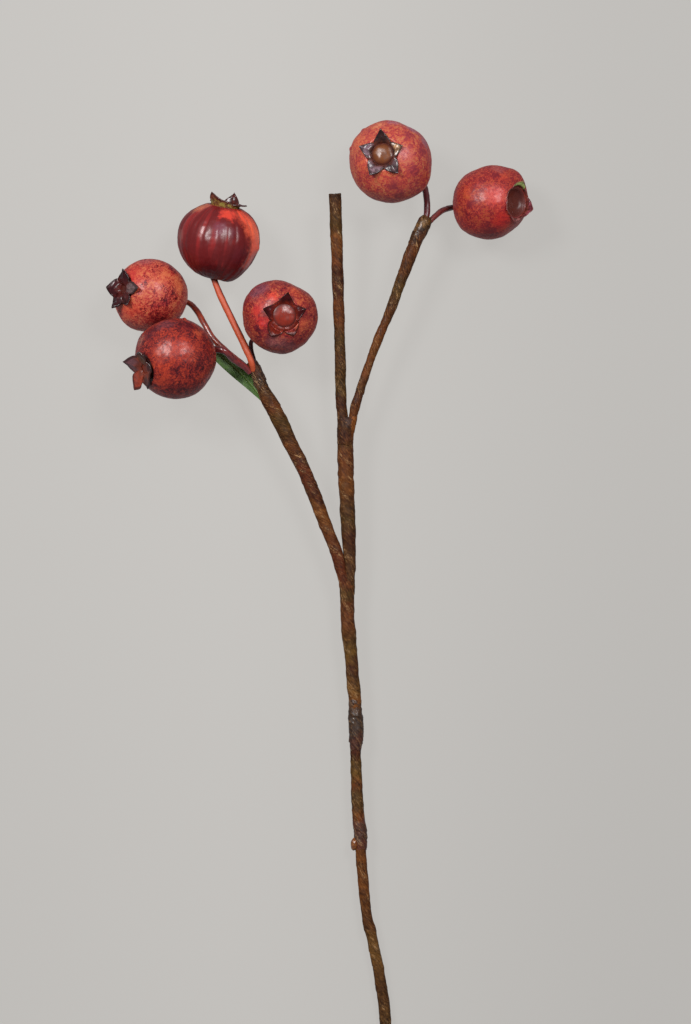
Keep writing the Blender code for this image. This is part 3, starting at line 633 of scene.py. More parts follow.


# Hips. Each bulge is a direction, a size and a push outward. Each tint is a place (across and up
# from the middle of the hip, in radii, on the side that faces up), its size, how much darker it
# is (less than 0 is lighter), a colour and that colour's share. Some are the skin's own patches;
# grey, lavender and pink tints near the rims paint reflection, light tints along the right edge of
# the upper left hip paint a glow over its orange, and dark tints low on a hip partly paint shade

hips = {
    "left_hip_upper": {
        "centre": (-34.9, 94, 12.4), "radius": 11.3, "long": 0.94, "crown": (0.18, 1, 0.17),
        "lump": 0.14, "ribs": 0.05, "rim": 0.35, "dish": 0.4, "dome": 0.8, "domeWidth": 0.24,
        "seed": 41, "grooves": (24, 0.15),
        "bulges": [((0.93, -0.2, 0.25), 0.13, 0.5), ((0.26, -0.97, 0.1), 0.35, 1),
            ((0.87, -0.5, 0.1), 0.25, -0.5), ((-0.85, 0.5, 0.1), 0.35, 0.5),
            ((0.85, 0.5, 0.1), 0.3, 0.4)],
        "stops": [(0.3, "cb301d"), (0.42, "962625"), (0.5, "591314"), (0.6, "5b0b0e"),
            (0.74, "790609")],
        "tintsAndPaintedLight": [(0.95, 0.08, 0.24, -0.05, "f67e59", 0.9),
            (0.27, 0.6, 0.22, -0.12, "c63d2a", 0.85), (0.33, 0.76, 0.14, 0.05, "851b19", 0.5),
            (0.66, 0.55, 0.3, -0.06, "d4482f", 0.85), (0.88, 0.22, 0.36, -0.05, "e15e3f", 0.95),
            (0.9, -0.22, 0.3, 0, "d95c47", 0.95), (0.8, -0.52, 0.28, 0, "c76053", 0.85),
            (-0.42, 0.82, 0.24, -0.04, "ab6445", 0.7), (-0.93, 0.1, 0.18, 0, "83514a", 0.5),
            (0.52, -0.45, 0.28, 0.08, "47171f", 0.6), (0.06, 0.2, 0.2, 0.03, "723f4f", 0.5),
            (0.38, 0.12, 0.16, 0.05, "643842", 0.4), (-0.5, -0.5, 0.4, 0, "650d0e", 0.5),
            (-0.2, -0.86, 0.4, 0.08, "33080d", 0.7)],
        "contrast": 0.6, "roughness": 0.28, "coat": 0.1, "blotchSize": 0.34, "speckSize": 0.11,
        "speckFloor": 0.85,
    },
    "left_hip_outer": {
        "centre": (-53.7, 79.2, 10.1), "radius": 10, "long": 1.02, "crown": (-0.75, 0.12, 0.65),
        "lump": 0.16, "ribs": 0.03, "rim": 0.35, "dish": 0.5, "dome": 1, "domeWidth": 0.25,
        "seed": 42, "bulges": [((-0.6, -0.8, 0.1), 0.4, 0.6)],
        "stops": [(0.28, "b26140"), (0.4, "aa5237"), (0.5, "a5362e"), (0.6, "901b1e"),
            (0.72, "42090a")],
        "tintsAndPaintedLight": [(0.36, 0.47, 0.3, -0.06, "c25c3a", 0.4), (0.8, 0.19, 0.24, -0.1, "c66841", 0.6),
            (0.21, 0.19, 0.2, -0.05, "be4a37", 0.2), (0.19, 0.59, 0.2, 0.1, "641d2c", 0.2),
            (0.7, 0.06, 0.14, 0.14, "55182c", 0.3), (0.45, -0.26, 0.18, 0.13, "55182c", 0.3),
            (0.14, -0.32, 0.2, 0.11, "641725", 0.2), (-0.54, 0.52, 0.32, 0, "ab1f1e", 0.7),
            (-0.38, 0.3, 0.24, 0, "af2726", 0.5), (-0.56, -0.48, 0.28, -0.08, "c63923", 0.6),
            (-0.3, -0.42, 0.2, -0.04, "c03e26", 0.4), (-0.54, -0.78, 0.14, 0, "664541", 0.6),
            (0.19, -0.74, 0.3, 0.12, "500f14", 0.6), (-0.14, 0.9, 0.26, 0.04, "844752", 0.5),
            (0.62, 0.72, 0.24, 0.08, "602735", 0.5)],
        "contrast": 1.5,
    },
    "left_hip_front": {
        "centre": (-46.3, 61.3, 20.6), "radius": 11, "long": 1, "crown": (-0.8, -0.29, 0.52),
        "lump": 0.2, "ribs": 0.04, "rim": 0.35, "dish": 0.5, "dome": 0.9, "domeWidth": 0.27,
        "seed": 43,
        "bulges": [((0.87, -0.48, 0.1), 0.3, -0.3), ((0.22, 0.96, 0.15), 0.05, 0.45),
            ((-0.85, 0.5, 0.1), 0.3, 0.5)],
        "stops": [(0.28, "9a3824"), (0.39, "84241a"), (0.48, "731f18"), (0.58, "6e2020"),
            (0.7, "3a0c12")],
        "tintsAndPaintedLight": [(0.15, 0.22, 0.36, -0.08, "a22c1e", 0.45),
            (-0.3, 0.1, 0.25, -0.05, "9b3122", 0.2), (0.49, 0, 0.2, -0.06, "a5452a", 0.2),
            (0.58, 0.6, 0.12, -0.12, "a94e2d", 0.4), (-0.24, -0.3, 0.22, -0.08, "ab3720", 0.4),
            (-0.31, -0.6, 0.2, -0.07, "a2321e", 0.4), (0.05, -0.36, 0.16, 0.13, "3e1319", 0.2),
            (0.66, -0.1, 0.16, 0.12, "3e1319", 0.2), (0.06, -0.76, 0.2, 0.12, "3e1319", 0.3),
            (-0.24, 0.84, 0.28, 0.06, "5d3740", 0.6), (-0.6, 0.58, 0.26, 0.1, "3d1722", 0.5),
            (-0.84, 0.4, 0.16, -0.06, "926353", 0.6), (0.3, 0.8, 0.26, 0.08, "4d1720", 0.5),
            (0.75, 0.35, 0.2, 0.06, "4d171d", 0.3)],
        "contrast": 1.9, "domeTone": "6a2a1c", "roughness": 0.3, "specular": 0.26,
    },
    "left_hip_inner": {
        "centre": (-18, 73, 16.8), "radius": 10.2, "long": 0.94, "crown": (0.16, -0.03, 0.99),
        "lump": 0.2, "ribs": 0.18, "rim": 0.4, "dish": 0.2, "dome": 0.8, "domeWidth": 0.335,
        "seed": 44,
        "bulges": [((0.4, 0.9, 0.1), 0.4, -1), ((-0.8, 0.55, 0.1), 0.35, 0.6),
            ((1, -0.1, 0.1), 0.4, 0.25)],
        "stops": [(0.28, "ac5434"), (0.39, "7e3321"), (0.48, "822122"), (0.59, "851c21"),
            (0.7, "4a0e16")],
        "tintsAndPaintedLight": [(-0.58, 0.68, 0.34, 0.06, "6e505e", 0.6),
            (-0.2, 0.5, 0.18, -0.12, "c93a2b", 0.8), (-0.53, 0.31, 0.22, -0.04, "b73f3c", 0.5),
            (-0.62, 0.1, 0.2, -0.05, "b72220", 0.8), (-0.46, -0.22, 0.2, -0.05, "b31c1b", 0.8),
            (0.4, 0.68, 0.2, -0.08, "b3472e", 0.5), (0.52, 0.37, 0.2, -0.06, "b0412e", 0.3),
            (0.63, -0.28, 0.26, -0.1, "b34930", 0.5), (-0.6, -0.38, 0.12, 0.2, "471825", 0.5),
            (-0.12, -0.76, 0.3, 0.04, "845d60", 0.5), (0.2, -0.84, 0.26, 0.05, "784e50", 0.5),
            (0.82, 0.2, 0.2, 0.05, "842725", 0.2)],
        "contrast": 1.75, "domeTone": "7a2214",
    },
    "right_hip_inner": {
        "centre": (12.1, 115.3, 16.8), "radius": 11.3, "long": 0.95,
        "crown": (-0.235, 0.11, 0.965), "lump": 0.2, "ribs": 0.04, "rim": 0.37, "dish": 0.3,
        "dome": 1.1, "domeWidth": 0.28, "seed": 45,
        "bulges": [((-0.97, 0.3, 0.1), 0.06, 0.35), ((-0.66, 0.75, 0.1), 0.06, 0.3),
            ((-0.85, -0.5, 0.2), 0.3, -0.3), ((0.4, 0.9, 0.1), 0.35, -0.6),
            ((0.8, -0.6, 0.1), 0.45, 0.7), ((-0.87, 0.5, 0.1), 0.3, 0.35)],
        "stops": [(0.28, "a96544"), (0.4, "a75134"), (0.5, "ad382f"), (0.6, "893034"),
            (0.72, "80262d")],
        "tintsAndPaintedLight": [(-0.8, 0.4, 0.26, -0.08, "be5d3b", 0.5),
            (-0.69, -0.18, 0.24, -0.07, "be502f", 0.5), (-0.28, 0.84, 0.2, -0.1, "c27453", 0.6),
            (0.1, 0.92, 0.2, 0.02, "8c687e", 0.5), (0.55, 0.77, 0.22, 0.05, "836176", 0.8),
            (0.83, 0.45, 0.2, 0.04, "775468", 0.8), (0.43, 0.57, 0.16, 0.2, "572433", 0.4),
            (0.75, 0.2, 0.16, 0.2, "572433", 0.3), (0.56, -0.28, 0.18, 0.2, "572433", 0.3),
            (-0.13, -0.42, 0.26, -0.06, "b9412b", 0.4), (0.33, -0.53, 0.2, -0.04, "b6412f", 0.4),
            (0.1, -0.66, 0.2, 0.1, "623134", 0.4), (0.22, -0.86, 0.14, 0.1, "4e222b", 0.6),
            (0.42, 0.05, 0.26, -0.03, "a84e48", 0.5)],
        "contrast": 1.65, "domeTone": "66340f",
    },
    "right_hip_outer": {
        "centre": (39.7, 104.7, 10.2), "radius": 10.2, "long": 1.02, "crown": (0.74, -0.05, 0.67),
        "lump": 0.18, "ribs": 0.05, "rim": 0.42, "dish": 0.6, "dome": -1.5, "domeWidth": 0.335,
        "seed": 46,
        "bulges": [((0.7, 0.7, 0.15), 0.35, 1), ((0.65, -0.75, 0.15), 0.35, -0.8),
            ((-0.75, -0.65, 0.1), 0.4, 0.6), ((-0.45, 0.9, 0.1), 0.3, -0.4)],
        "stops": [(0.28, "823a1b"), (0.39, "a1402f"), (0.48, "901e1b"), (0.59, "68181b"),
            (0.7, "6b171d")],
        "tintsAndPaintedLight": [(-0.65, 0.21, 0.2, -0.1, "b4492a", 0.5),
            (-0.82, -0.29, 0.16, -0.08, "ab492e", 0.5), (0.35, 0.6, 0.18, -0.08, "b23c27", 0.5),
            (0.07, 0.65, 0.12, 0.19, "511322", 0.4), (-0.24, 0.52, 0.12, 0.19, "511322", 0.4),
            (-0.54, -0.12, 0.13, 0.19, "511322", 0.4), (-0.68, -0.34, 0.12, 0.19, "511322", 0.4),
            (0.2, 0.85, 0.24, 0, "924848", 0.6), (0.11, 0.08, 0.34, -0.08, "be3531", 0.7),
            (0.3, -0.54, 0.34, -0.05, "a41a18", 0.8), (-0.05, -0.84, 0.3, 0.12, "401019", 0.6),
            (0.72, -0.44, 0.2, 0, "924c58", 0.6)],
        "contrast": 1.6, "domeTone": "5a261c", "wallTone": "56241e",
    },
}
plainHip = {        # what a hip has unless its own row says otherwise
    "coat": 0.06, "specular": 0.32, "roughness": 0.36, "sheen": 0.07, "sheenTone": "e8a090",
    "domeTone": "4a1c14", "domeShade": "32120e", "wallTone": "3a1210",
    "blotchSize": 0.30, "speckSize": 0.075,     # in radii
    "speckFloor": 0.45,                         # how much of a mark shows through the specks
}
crownSeat = 0.44            # where the crown stands, as a part of the hip's radius
dimpleWidth = 0.20          # the hollow round the stalk, as a part of the hip's radius
dimpleDepth = 0.9


def crownHeight(look):
    return look["long"] * look["radius"] * math.sqrt(1 - crownSeat ** 2)


def crownTurn(look):
    return Vector((0, 0, 1)).rotation_difference(Vector(look["crown"]))


def turnToCrown(rings, look):
    # from the crown's own frame, with z along its axis, to the sprig's
    turn = np.array(crownTurn(look).to_matrix())
    return rings @ turn.T + np.array(look["centre"])


def hipOutline(look, count=170):
    # half outline from the dimple in the base, up the side, to the middle of the crown
    radius, long, top = look["radius"], look["long"], crownHeight(look)
    last, first = math.pi - math.asin(dimpleWidth), math.asin(crownSeat)
    base = math.cos(last) * long * radius
    points = [(part * radius, base + dimpleDepth * deep)
              for part, deep in ((0.0, 1.0), (0.07, 0.8), (0.14, 0.25))]
    points += [(radius * math.sin(bend), long * radius * math.cos(bend))
               for bend in np.linspace(last, first, 15)]
    rim, dish = look["rim"], look["dish"]
    points += [((rim + 0.03) * radius, top + 0.08), (rim * radius, top - 0.15),
               ((rim - 0.04) * radius, top - dish * 0.7), ((rim - 0.07) * radius, top - dish)]
    wide, floor = look["domeWidth"] * radius, top - dish
    points += [(wide * math.sin(bend), floor + look["dome"] * math.cos(bend))
               for bend in (1.3, 0.9, 0.45, 0.0)]
    line = smoothRoute([(x, 0, z, 0) for x, z in points], 0.05)
    spots = np.linspace(0, line["along"][-1], count)
    x = np.interp(spots, line["along"], line["centre"][:, 0])
    x[0], x[-1] = 0.02, 0.02
    return x, np.interp(spots, line["along"], line["centre"][:, 2])


def makeHip(name, look, material, around=260):
    radius, seed = look["radius"], look["seed"]
    x, z = hipOutline(look)
    angle = roundAngles(around)
    rings = x[:, None, None] * circle(angle)
    rings[..., 2] += z[:, None]
    outward = unit(rings)
    # lumps, folds, grooves and bulges of the skin, fading out at the dimple and the crown
    meridian = circle(angle, 0.4 * z[:, None] / radius)
    height = look["lump"] * clouds(outward, seed, (1, 0.55, 0), (0.35, 0.2, 4))
    folds = cloud(meridian, 0.45, seed + 1) - np.abs(cloud(meridian, 0.35, seed + 2))
    height = height + look["ribs"] * folds + 0.05 * cloud(outward, 0.09, seed + 3)
    if "grooves" in look:
        count, depth = look["grooves"]
        phase = angle[None] / fullTurn * count + 0.5 * cloud(meridian, 0.5, seed + 5)
        cut = bell((phase + 0.5) % 1, 0.5, 0.2)
        height = height - depth * cut * (0.7 + 0.6 * cloud(meridian, 0.16, seed + 6))
    turnBack = crownTurn(look).inverted()
    for direction, size, push in look["bulges"]:
        gap = np.linalg.norm(outward - np.array(turnBack @ Vector(direction).normalized()), axis=2)
        height = height + push * bell(gap, 0, size)
    body = np.where(z < 0, ramp(x, dimpleWidth * radius, 0.42 * radius),
                    ramp(x, look["rim"] * radius, 0.62 * radius))
    rings = rings + outward * (height * body[:, None])[..., None]
    # pitted inside the crown
    inside = (ramp(-x, -look["rim"] * radius, (-look["rim"] + 0.03) * radius) * (z > 0))[:, None]
    rings[..., 2] += clouds(rings, seed, (0.01, 0.7, 7), (0.14, 1.8, 8)) * inside
    wide = look["domeWidth"] * radius
    dome = (ramp(-x, -wide, -0.6 * wide) * (z > 0))[:, None]
    layers = {"place": rings / radius, "crown": inside + 0 * angle, "dome": dome + 0 * angle}
    item = ringMesh(name + "_skin", aboveTable(turnToCrown(rings, look), 0.03), layers)
    finishPiece(item, name, material)


def skinMaterial(name, look):
    material, tree = newMaterial(name, {
        "Coat Weight": look["coat"], "Coat Roughness": 0.2, "Specular IOR Level": look["specular"],
        "Sheen Weight": look["sheen"], "Sheen Roughness": 0.3,
        "Sheen Tint": rgba(look["sheenTone"])})
    where, dome = layerOf(tree, "place", "Vector"), layerOf(tree, "dome")
    blotch, fleck, half = look["blotchSize"], look["speckSize"], (0.5, 0.5, 0.5)
    warp = speckle(tree, where, 1 / 6, 5, 0.7, output="Color")
    centred = combineVectors(tree, "SUBTRACT", warp, half)
    bent = combineVectors(tree, "MULTIPLY_ADD", centred, half, where)
    if "grooves" in look:       # grain drawn out from the base to the crown
        flat = combineVectors(tree, "MULTIPLY", where, (1, 1, 0))
        around = combineVectors(tree, "NORMALIZE", flat)
        grain = combineVectors(tree, "MULTIPLY_ADD", where, (0, 0, 0.14), around)
        broad = speckle(tree, grain, blotch, 3, 0.5)
        sharp = fine = speckle(tree, grain, fleck, 5, 0.65, 0.2)
    else:
        broad = speckle(tree, where, blotch, 5, 0.68, 0.5)
        fine = speckle(tree, where, fleck, 5, 0.8, 1.2)
        sharp = remap(tree, fine, 0.38, 0.62)
    # blotches and specks together, then lighter or darker at each tint, some of which paint
    # reflection, glow or shade
    contrast = look["contrast"]
    value = combine(tree, "MULTIPLY_ADD", broad, 0.42 * contrast, 0.5 - 0.33 * contrast)
    value = combine(tree, "MULTIPLY_ADD", sharp, 0.26 * contrast, value)
    masks = []
    turnBack = crownTurn(look).inverted()
    for across, upward, size, push, code, share in look["tintsAndPaintedLight"]:
        deep = math.sqrt(max(0.0, 1 - across ** 2 - upward ** 2))
        aim = turnBack @ Vector((across, upward, deep)).normalized()
        gap = combineVectors(tree, "DISTANCE", bent, aim)
        mask = remap(tree, gap, size * 1.3, size * 0.3)
        value = combine(tree, "MULTIPLY_ADD", mask, push, value)
        masks.append((mask, code, share))
    colour = toneRamp(tree, value, look["stops"])
    speck = remap(tree, fine, 0.36, 0.62, 1.0, look["speckFloor"])
    for mask, code, share in masks:
        amount = combine(tree, "MULTIPLY", mask, combine(tree, "MULTIPLY", speck, share))
        colour = tint(tree, colour, code, amount)
    # inside the crown's ring the skin takes the wall tone: partly the crown's own dark brown,
    # partly painted shade in the groove round the dome
    colour = tint(tree, colour, look["wallTone"], layerOf(tree, "crown"))
    domeTone = mixColour(tree, remap(tree, fine, 0.42, 0.66, 0.0, 0.5),
                         rgba(look["domeTone"]), rgba(look["domeShade"]))
    colour = mixColour(tree, dome, colour, domeTone)
    # the dome in the crown is smoother and shinier than the skin
    rough = remap(tree, fine, 0.3, 0.7, look["roughness"], look["roughness"] + 0.14)
    rough = combine(tree, "MULTIPLY_ADD", dome, -0.13, rough)
    bumps = bumpsOf(tree, fine, remap(tree, dome, 0.0, 1.0, 0.22, 0.03), 0.1)
    return plugIn(material, colour, rough, bumps)


for name in hips:
    hips[name] = {**plainHip, **hips[name]}
    makeHip(name, hips[name], skinMaterial(name + "_skin", hips[name]))
print("hips grown")


def makeStalk(hipName):
    name = hipName.replace("hip", "stalk")
    hip, look = hips[hipName], stalks[name]
    reach = hip["long"] * hip["radius"] * math.sqrt(1 - dimpleWidth ** 2) - dimpleDepth / 2
    foot = Vector(hip["centre"]) - Vector(hip["crown"]).normalized() * (reach - 0.5)
    route = smoothRoute(look["route"] + [(*foot, look["route"][-1][3] * 1.05)], 0.3)
    angle, along, ray, _ = tubeRays(route, 40)
    skin = route["centre"][:, None] + ray * route["radius"][:, None, None] * look["thin"]
    left = along - along[-1:]               # less than 0 before the hip, 0 where it meets it
    height = clouds(skin, look["seed"], (0.07, 2.0, 0), (0.04, 0.7, 1))
    height = height + 0.2 * ramp(left, -2.2, -0.4)
    rings = closeEnds(skin + ray * height[..., None])
    layers = padLayers({"wound": circle(angle, along * 0.3), "tip": ramp(left, -3.2, -1.4)})
    item = ringMesh(name + "_skin", aboveTable(rings), layers)
    finishPiece(item, name, stalkMaterial(name + "_skin", look))


for hipName in hips:
    makeStalk(hipName)
print("stalks joined")


# Crowns, up from a ring on the hip. Each lobe: its direction round the crown, how far out and
# up its tip is, how full it is (1 has straight edges), how much it arches, its colour inside

crowns = {
    "left_calyx_upper": {
        "ring": 0.33, "cup": 1.2, "valley": 0.1, "thick": 0.34, "hollow": 0.2, "seed": 51,
        "lobes": [(52, 3.9, 3.9, 1.8, 0.2, "4a1a16"), (120, 4.4, 1.6, 1.2, 0.3, "3a1614"),
            (165, 4.2, 1.2, 1.2, 0.3, "4a2018"), (218, 5.9, 3.7, 2.2, 0.3, "6e3a2e"),
            (336, 6.2, 1.2, 2, 0.9, "54282a")],
        "outer": "7c4436", "inner": "5a241c", "rim": "341614", "cupTone": "7c7032",
        "underTone": "8a5a30",
    },
    "left_calyx_outer": {
        "ring": 0.12, "root": -0.35, "cup": 1, "valley": 2.3, "thick": 0.42, "hollow": 0.45,
        "seed": 52,
        # the grey colour of the lobe at 357 degrees paints a reflection
        "lobes": [(357, 7.2, 0.8, 1.6, 1, "665252"), (67, 5.6, 2.6, 2, 0.5, "381014"),
            (170, 4, 3.2, 4, 0.4, "3c1418"), (250, 5.6, 2.4, 2.4, 0.5, "301014"),
            (308, 6.1, 1.5, 2, 0.6, "3c1414")],
        "outer": "341214", "inner": "4c1814", "rim": "1e0c0c", "cupTone": "4a1a18",
        "underTone": "6a2018", "gloss": (0.22, 0.36), "mottle": 0.5, "specular": 0.28,
    },
    "left_calyx_front": {
        "ring": 0.12, "root": -0.3, "cup": 1.2, "valley": 2.5, "thick": 0.44, "hollow": 0.3,
        "seed": 53,
        "lobes": [(12, 4.6, 0.9, 1.2, 0.3, "3a1614"), (66, 6, 2.4, 2.2, 0.5, "50301e"),
            (161, 6.3, 3.2, 1.8, 0.4, "5c383c"), (237, 7.1, 2.4, 3.6, 0.5, "8c3420"),
            (277, 5.6, 0.9, 1.4, 0.4, "4a2a26")],
        "outer": "3a1818", "inner": "74301e", "rim": "220e0d", "cupTone": "4a1e18",
        "underTone": "6a2018", "mottle": 0.35,
    },
    "left_calyx_inner": {
        "ring": 0.3, "root": 0.1, "cup": 0.3, "valley": 0.75, "thick": 0.3, "hollow": 0.15,
        "seed": 54,
        # the dark upper lobes and lighter lower lobes partly paint the shade and light that fall
        # on them
        "lobes": [(83, 6.4, 1.7, 1.25, 0.2, "380c0e"), (164, 6.4, 1.5, 1.2, 0.2, "421214"),
            (17, 6.1, 1.5, 1.2, 0.2, "3a0e10"), (235, 6.9, -0.3, 2.6, 0.1, "6a1e12"),
            (298, 6, -0.3, 2.6, 0.1, "661c12")],
        "outer": "5a1816", "inner": "6c2014", "rim": "2c1010", "cupTone": "5a1a14",
        "underTone": "6a1a16", "gloss": (0.24, 0.36), "mottle": 0.5, "specular": 0.14,
    },
    "right_calyx_inner": {
        "ring": 0.27, "root": 0.15, "cup": 0.35, "valley": 0.8, "thick": 0.32, "hollow": 0.25,
        "seed": 55,
        # the lavender-grey colours of the lobes at 162 and 243 degrees paint reflection
        "lobes": [(92, 6.6, 1.9, 1.3, 0.3, "2a1210"), (162, 6.5, 1.5, 1.4, 0.3, "6e5660"),
            (19, 6.1, 0.8, 1.2, 0.3, "9c7450"), (243, 6.8, 1.5, 1.8, 0.3, "745a62"),
            (309, 7.4, 1.2, 1.5, 0.3, "4a3438")],
        "outer": "4e2420", "inner": "4a2014", "rim": "241212", "cupTone": "5e2c18",
        "underTone": "7a3420",
    },
    "right_calyx_outer": {
        "ring": 0.42, "root": 0.4, "cup": 0.5, "valley": 0.25, "thick": 0.2, "hollow": 0.15,
        "seed": 56,
        "lobes": [(84, 5.8, 1.4, 3, 0.3, "98a65c"), (150, 5.1, 0.5, 2, 0.2, "6a342a"),
            (208, 5.3, 0.6, 2, 0.2, "7a4036"), (255, 5.6, 0.7, 2, 0.2, "8a5450"),
            (332, 3.7, 3, 2.4, 1, "7a3a44")],
        "outer": "7c3a40", "inner": "6a3028", "rim": "6e3634", "cupTone": "6a2622",
        "underTone": "7a2a24",
    },
}
plainCrown = {
    "root": 0.35, "gloss": (0.18, 0.32), "specular": 0.5, "mottle": 0.8, "shade": "7a6a66",
}


def bendLine(start, control, end, part):
    # a bent line from start to end that leans towards the control point
    part = part[:, None]
    return (1 - part) ** 2 * start + 2 * part * (1 - part) * control + part ** 2 * end


def wrapped(degrees):
    return (degrees + 180) % 360 - 180


def halfSector(at, index, gap):
    # half the angle from one lobe to its neighbour on the side of the gap
    beside = at[(index + (1 if gap > 0 else -1)) % len(at)]
    return abs(wrapped(beside - at[index])) / 2


def lobeShare(gap, half, out, valley, full):
    # how far out the edge stands, 0 in the valley beside a lobe and 1 at its tip
    half, gap = math.radians(half), math.radians(min(abs(gap), half))
    out = max(out, valley + 0.5)
    reach = out * valley * math.sin(half)
    reach /= valley * math.sin(half - gap) + out * math.sin(gap)
    return min(1, max(0, (reach - valley) / (out - valley))) ** (1 / full)


def crownSheet(hip, look, part, around):
    # the crown as one sheet: its points, how near each is to a tip, and the colour inside
    ring, cup = look["ring"] * hip["radius"], look["cup"]
    lobes = sorted(look["lobes"])
    at = [lobe[0] for lobe in lobes]
    angles = np.linspace(0, 360, around, endpoint=False) + at[0]
    inner, start = linear(look["inner"]), np.array((ring, -look["root"]))
    valley = np.array((ring + look["valley"], cup))
    valleyBend = np.array((ring + 0.3 * look["valley"], cup * 0.6))
    lines, tips, tones = [], [], []
    for degrees in angles:
        gaps = [wrapped(degrees - centre) for centre in at]
        nearest = min(range(len(at)), key=lambda k: abs(gaps[k]) / halfSector(at, k, gaps[k]))
        _, out, up, full, arch, colour = lobes[nearest]
        half = halfSector(at, nearest, gaps[nearest])
        length = math.hypot(out - valley[0], up - cup)
        share = lobeShare(gaps[nearest], half, valley[0] + length, valley[0], full)
        lobeBend = np.array((ring + 0.3 * (out - ring), (up + cup) / 2 + arch))
        end = valley + (np.array((out, up)) - valley) * share
        lines.append(bendLine(start, valleyBend + (lobeBend - valleyBend) * share, end, part))
        tips.append(share * ramp(part, 0.35, 1.0))
        blend = ramp(np.array(share), 0.0, 0.5) * ramp(part, 0.15, 0.6)
        tones.append(inner + (linear(colour) - inner) * blend[:, None])
    out, up = np.array(lines).transpose(2, 1, 0)
    sheet = circle(np.radians(angles), up + crownHeight(hip), out)
    return sheet, np.array(tips).T, np.array(tones).transpose(1, 0, 2)


def makeCrown(hipName, material, around=280, rows=24):
    name = hipName.replace("hip", "calyx")
    hip, look = hips[hipName], crowns[name]
    seed, part = look["seed"], np.linspace(0, 1, rows)
    sheet, tip, tone = crownSheet(hip, look, part, around)
    alongRows = np.gradient(sheet, axis=0)
    aroundRows = (np.roll(sheet, -1, axis=1) - np.roll(sheet, 1, axis=1)) / 2
    normal = unit(np.cross(aroundRows, alongRows))
    swell = look["hollow"] * np.sin(np.clip(tip, 0, 1) * math.pi)
    wobble = 0.3 * cloud(sheet, 1.8, seed) * tip + 0.05 * cloud(sheet, 0.8, seed + 2)
    sheet = sheet + normal * (swell + wobble)[..., None]
    # thickest at the foot and in a bead near the edge
    thick = look["thick"] * (0.62 + 0.5 * bell(part, 0.94, 0.05)) * (1.2 - 0.2 * part)
    thick = (thick[:, None] * (1 + 0.15 * cloud(sheet, 1.2, seed + 1)))[..., None]
    edge = sheet[-1:] + unit(sheet[-1:] - sheet[-2:-1]) * look["thick"] * 0.3
    rings = np.concatenate((sheet + normal * thick / 2, edge, (sheet - normal * thick / 2)[::-1]))

    def bothSides(values):
        return np.concatenate((values, values[-1:], values[::-1]))

    rim = ramp(part, 0.76, 0.96)[:, None] + 0 * tip
    foot = 1 - ramp(part, 0.0, 0.3)[:, None] + 0 * tip
    inside = np.concatenate((0 * tip, 0.5 + 0 * tip[-1:], 0 * tip + 1))
    layers = {"rim": bothSides(rim), "tip": bothSides(tip), "foot": bothSides(foot),
              "inside": inside, "tone": bothSides(tone), "place": rings}
    item = ringMesh(name + "_lobes", turnToCrown(rings, hip), layers, fans=False, loop=True)
    finishPiece(item, name, material)


def crownMaterial(name, look):
    material, tree = newMaterial(name, {"Specular IOR Level": look["specular"]})
    place, tip = layerOf(tree, "place", "Vector"), layerOf(tree, "tip")
    mottle = speckle(tree, place, 1.1, 4, 0.6, 0.4)
    grain = speckle(tree, place, 0.5, 3, 0.6)
    cup = mixColour(tree, remap(tree, mottle, 0.40, 0.56), rgba(look["cupTone"]),
                    rgba(look["underTone"]))
    outer = tint(tree, cup, look["outer"], tip, 0.02, 0.25)
    outer = tint(tree, outer, look["underTone"], layerOf(tree, "foot"))
    colour = mixColour(tree, layerOf(tree, "inside"), outer, layerOf(tree, "tone", "Color"))
    darker = mixColour(tree, 1.0, colour, rgba(look["shade"]), "MULTIPLY")
    colour = mixColour(tree, remap(tree, mottle, 0.42, 0.58, 0.0, look["mottle"]), colour, darker)
    colour = tint(tree, colour, look["rim"], layerOf(tree, "rim"), 0.2, 0.9, 0.75)
    rough = remap(tree, mottle, 0.3, 0.7, *look["gloss"])
    return plugIn(material, colour, rough, bumpsOf(tree, grain, 0.2, 0.1))


for hipName in hips:
    name = hipName.replace("hip", "calyx")
    crowns[name] = {**plainCrown, **crowns[name]}
    makeCrown(hipName, crownMaterial(name + "_skin", crowns[name]))
print("crowns opened")


# Dried drop of glue beside the tape's end

drop = {"at": (2.25, -72.3, 4.5), "size": (0.95, 1.7, 1.1), "colour": "7e4a1c", "dark": "582c14"}


def makeDrop():
    bends = np.linspace(math.pi - 0.04, 0.04, 26)[:, None]
    rings = circle(roundAngles(40), np.cos(bends), np.sin(bends))
    swell = 1 + clouds(rings, 61, (0.16, 0.8, 0), (0.06, 0.3, 1))
    rings = np.array(drop["at"]) + rings * swell[..., None] * drop["size"]
    material, tree = newMaterial("dried_glue", {"Roughness": 0.22, "Coat Weight": 0.6,
                                                "Coat Roughness": 0.1})
    mottle = speckle(tree, addNode(tree, "TexCoord").outputs["Object"], 0.7 * mm, 3)
    dark = remap(tree, mottle, 0.4, 0.65)
    plugIn(material, mixColour(tree, dark, rgba(drop["colour"]), rgba(drop["dark"])))
    finishPiece(ringMesh("dried_drop", rings), "glue_bead", material)


makeDrop()


# Leaf

leaf = {
    "route": [(-22.2, 49.4, 8.9, 0.5), (-26.2, 54.8, 8.4, 3.4), (-30.4, 59.2, 7.9, 4.7),
              (-35.4, 63.2, 7.4, 3.6), (-38.8, 65.5, 7.2, 0.3)],     # x, y, z and width
    "thick": 0.35, "fold": 0.22, "green": "50742a", "dark": "3c5c1e", "vein": "84964c",
    "veins": (0.1, 4.2, 5),     # how deep, how close together, how slanted
    "rib": (0.12, 0.06),        # how deep and how wide the groove in the middle is
}


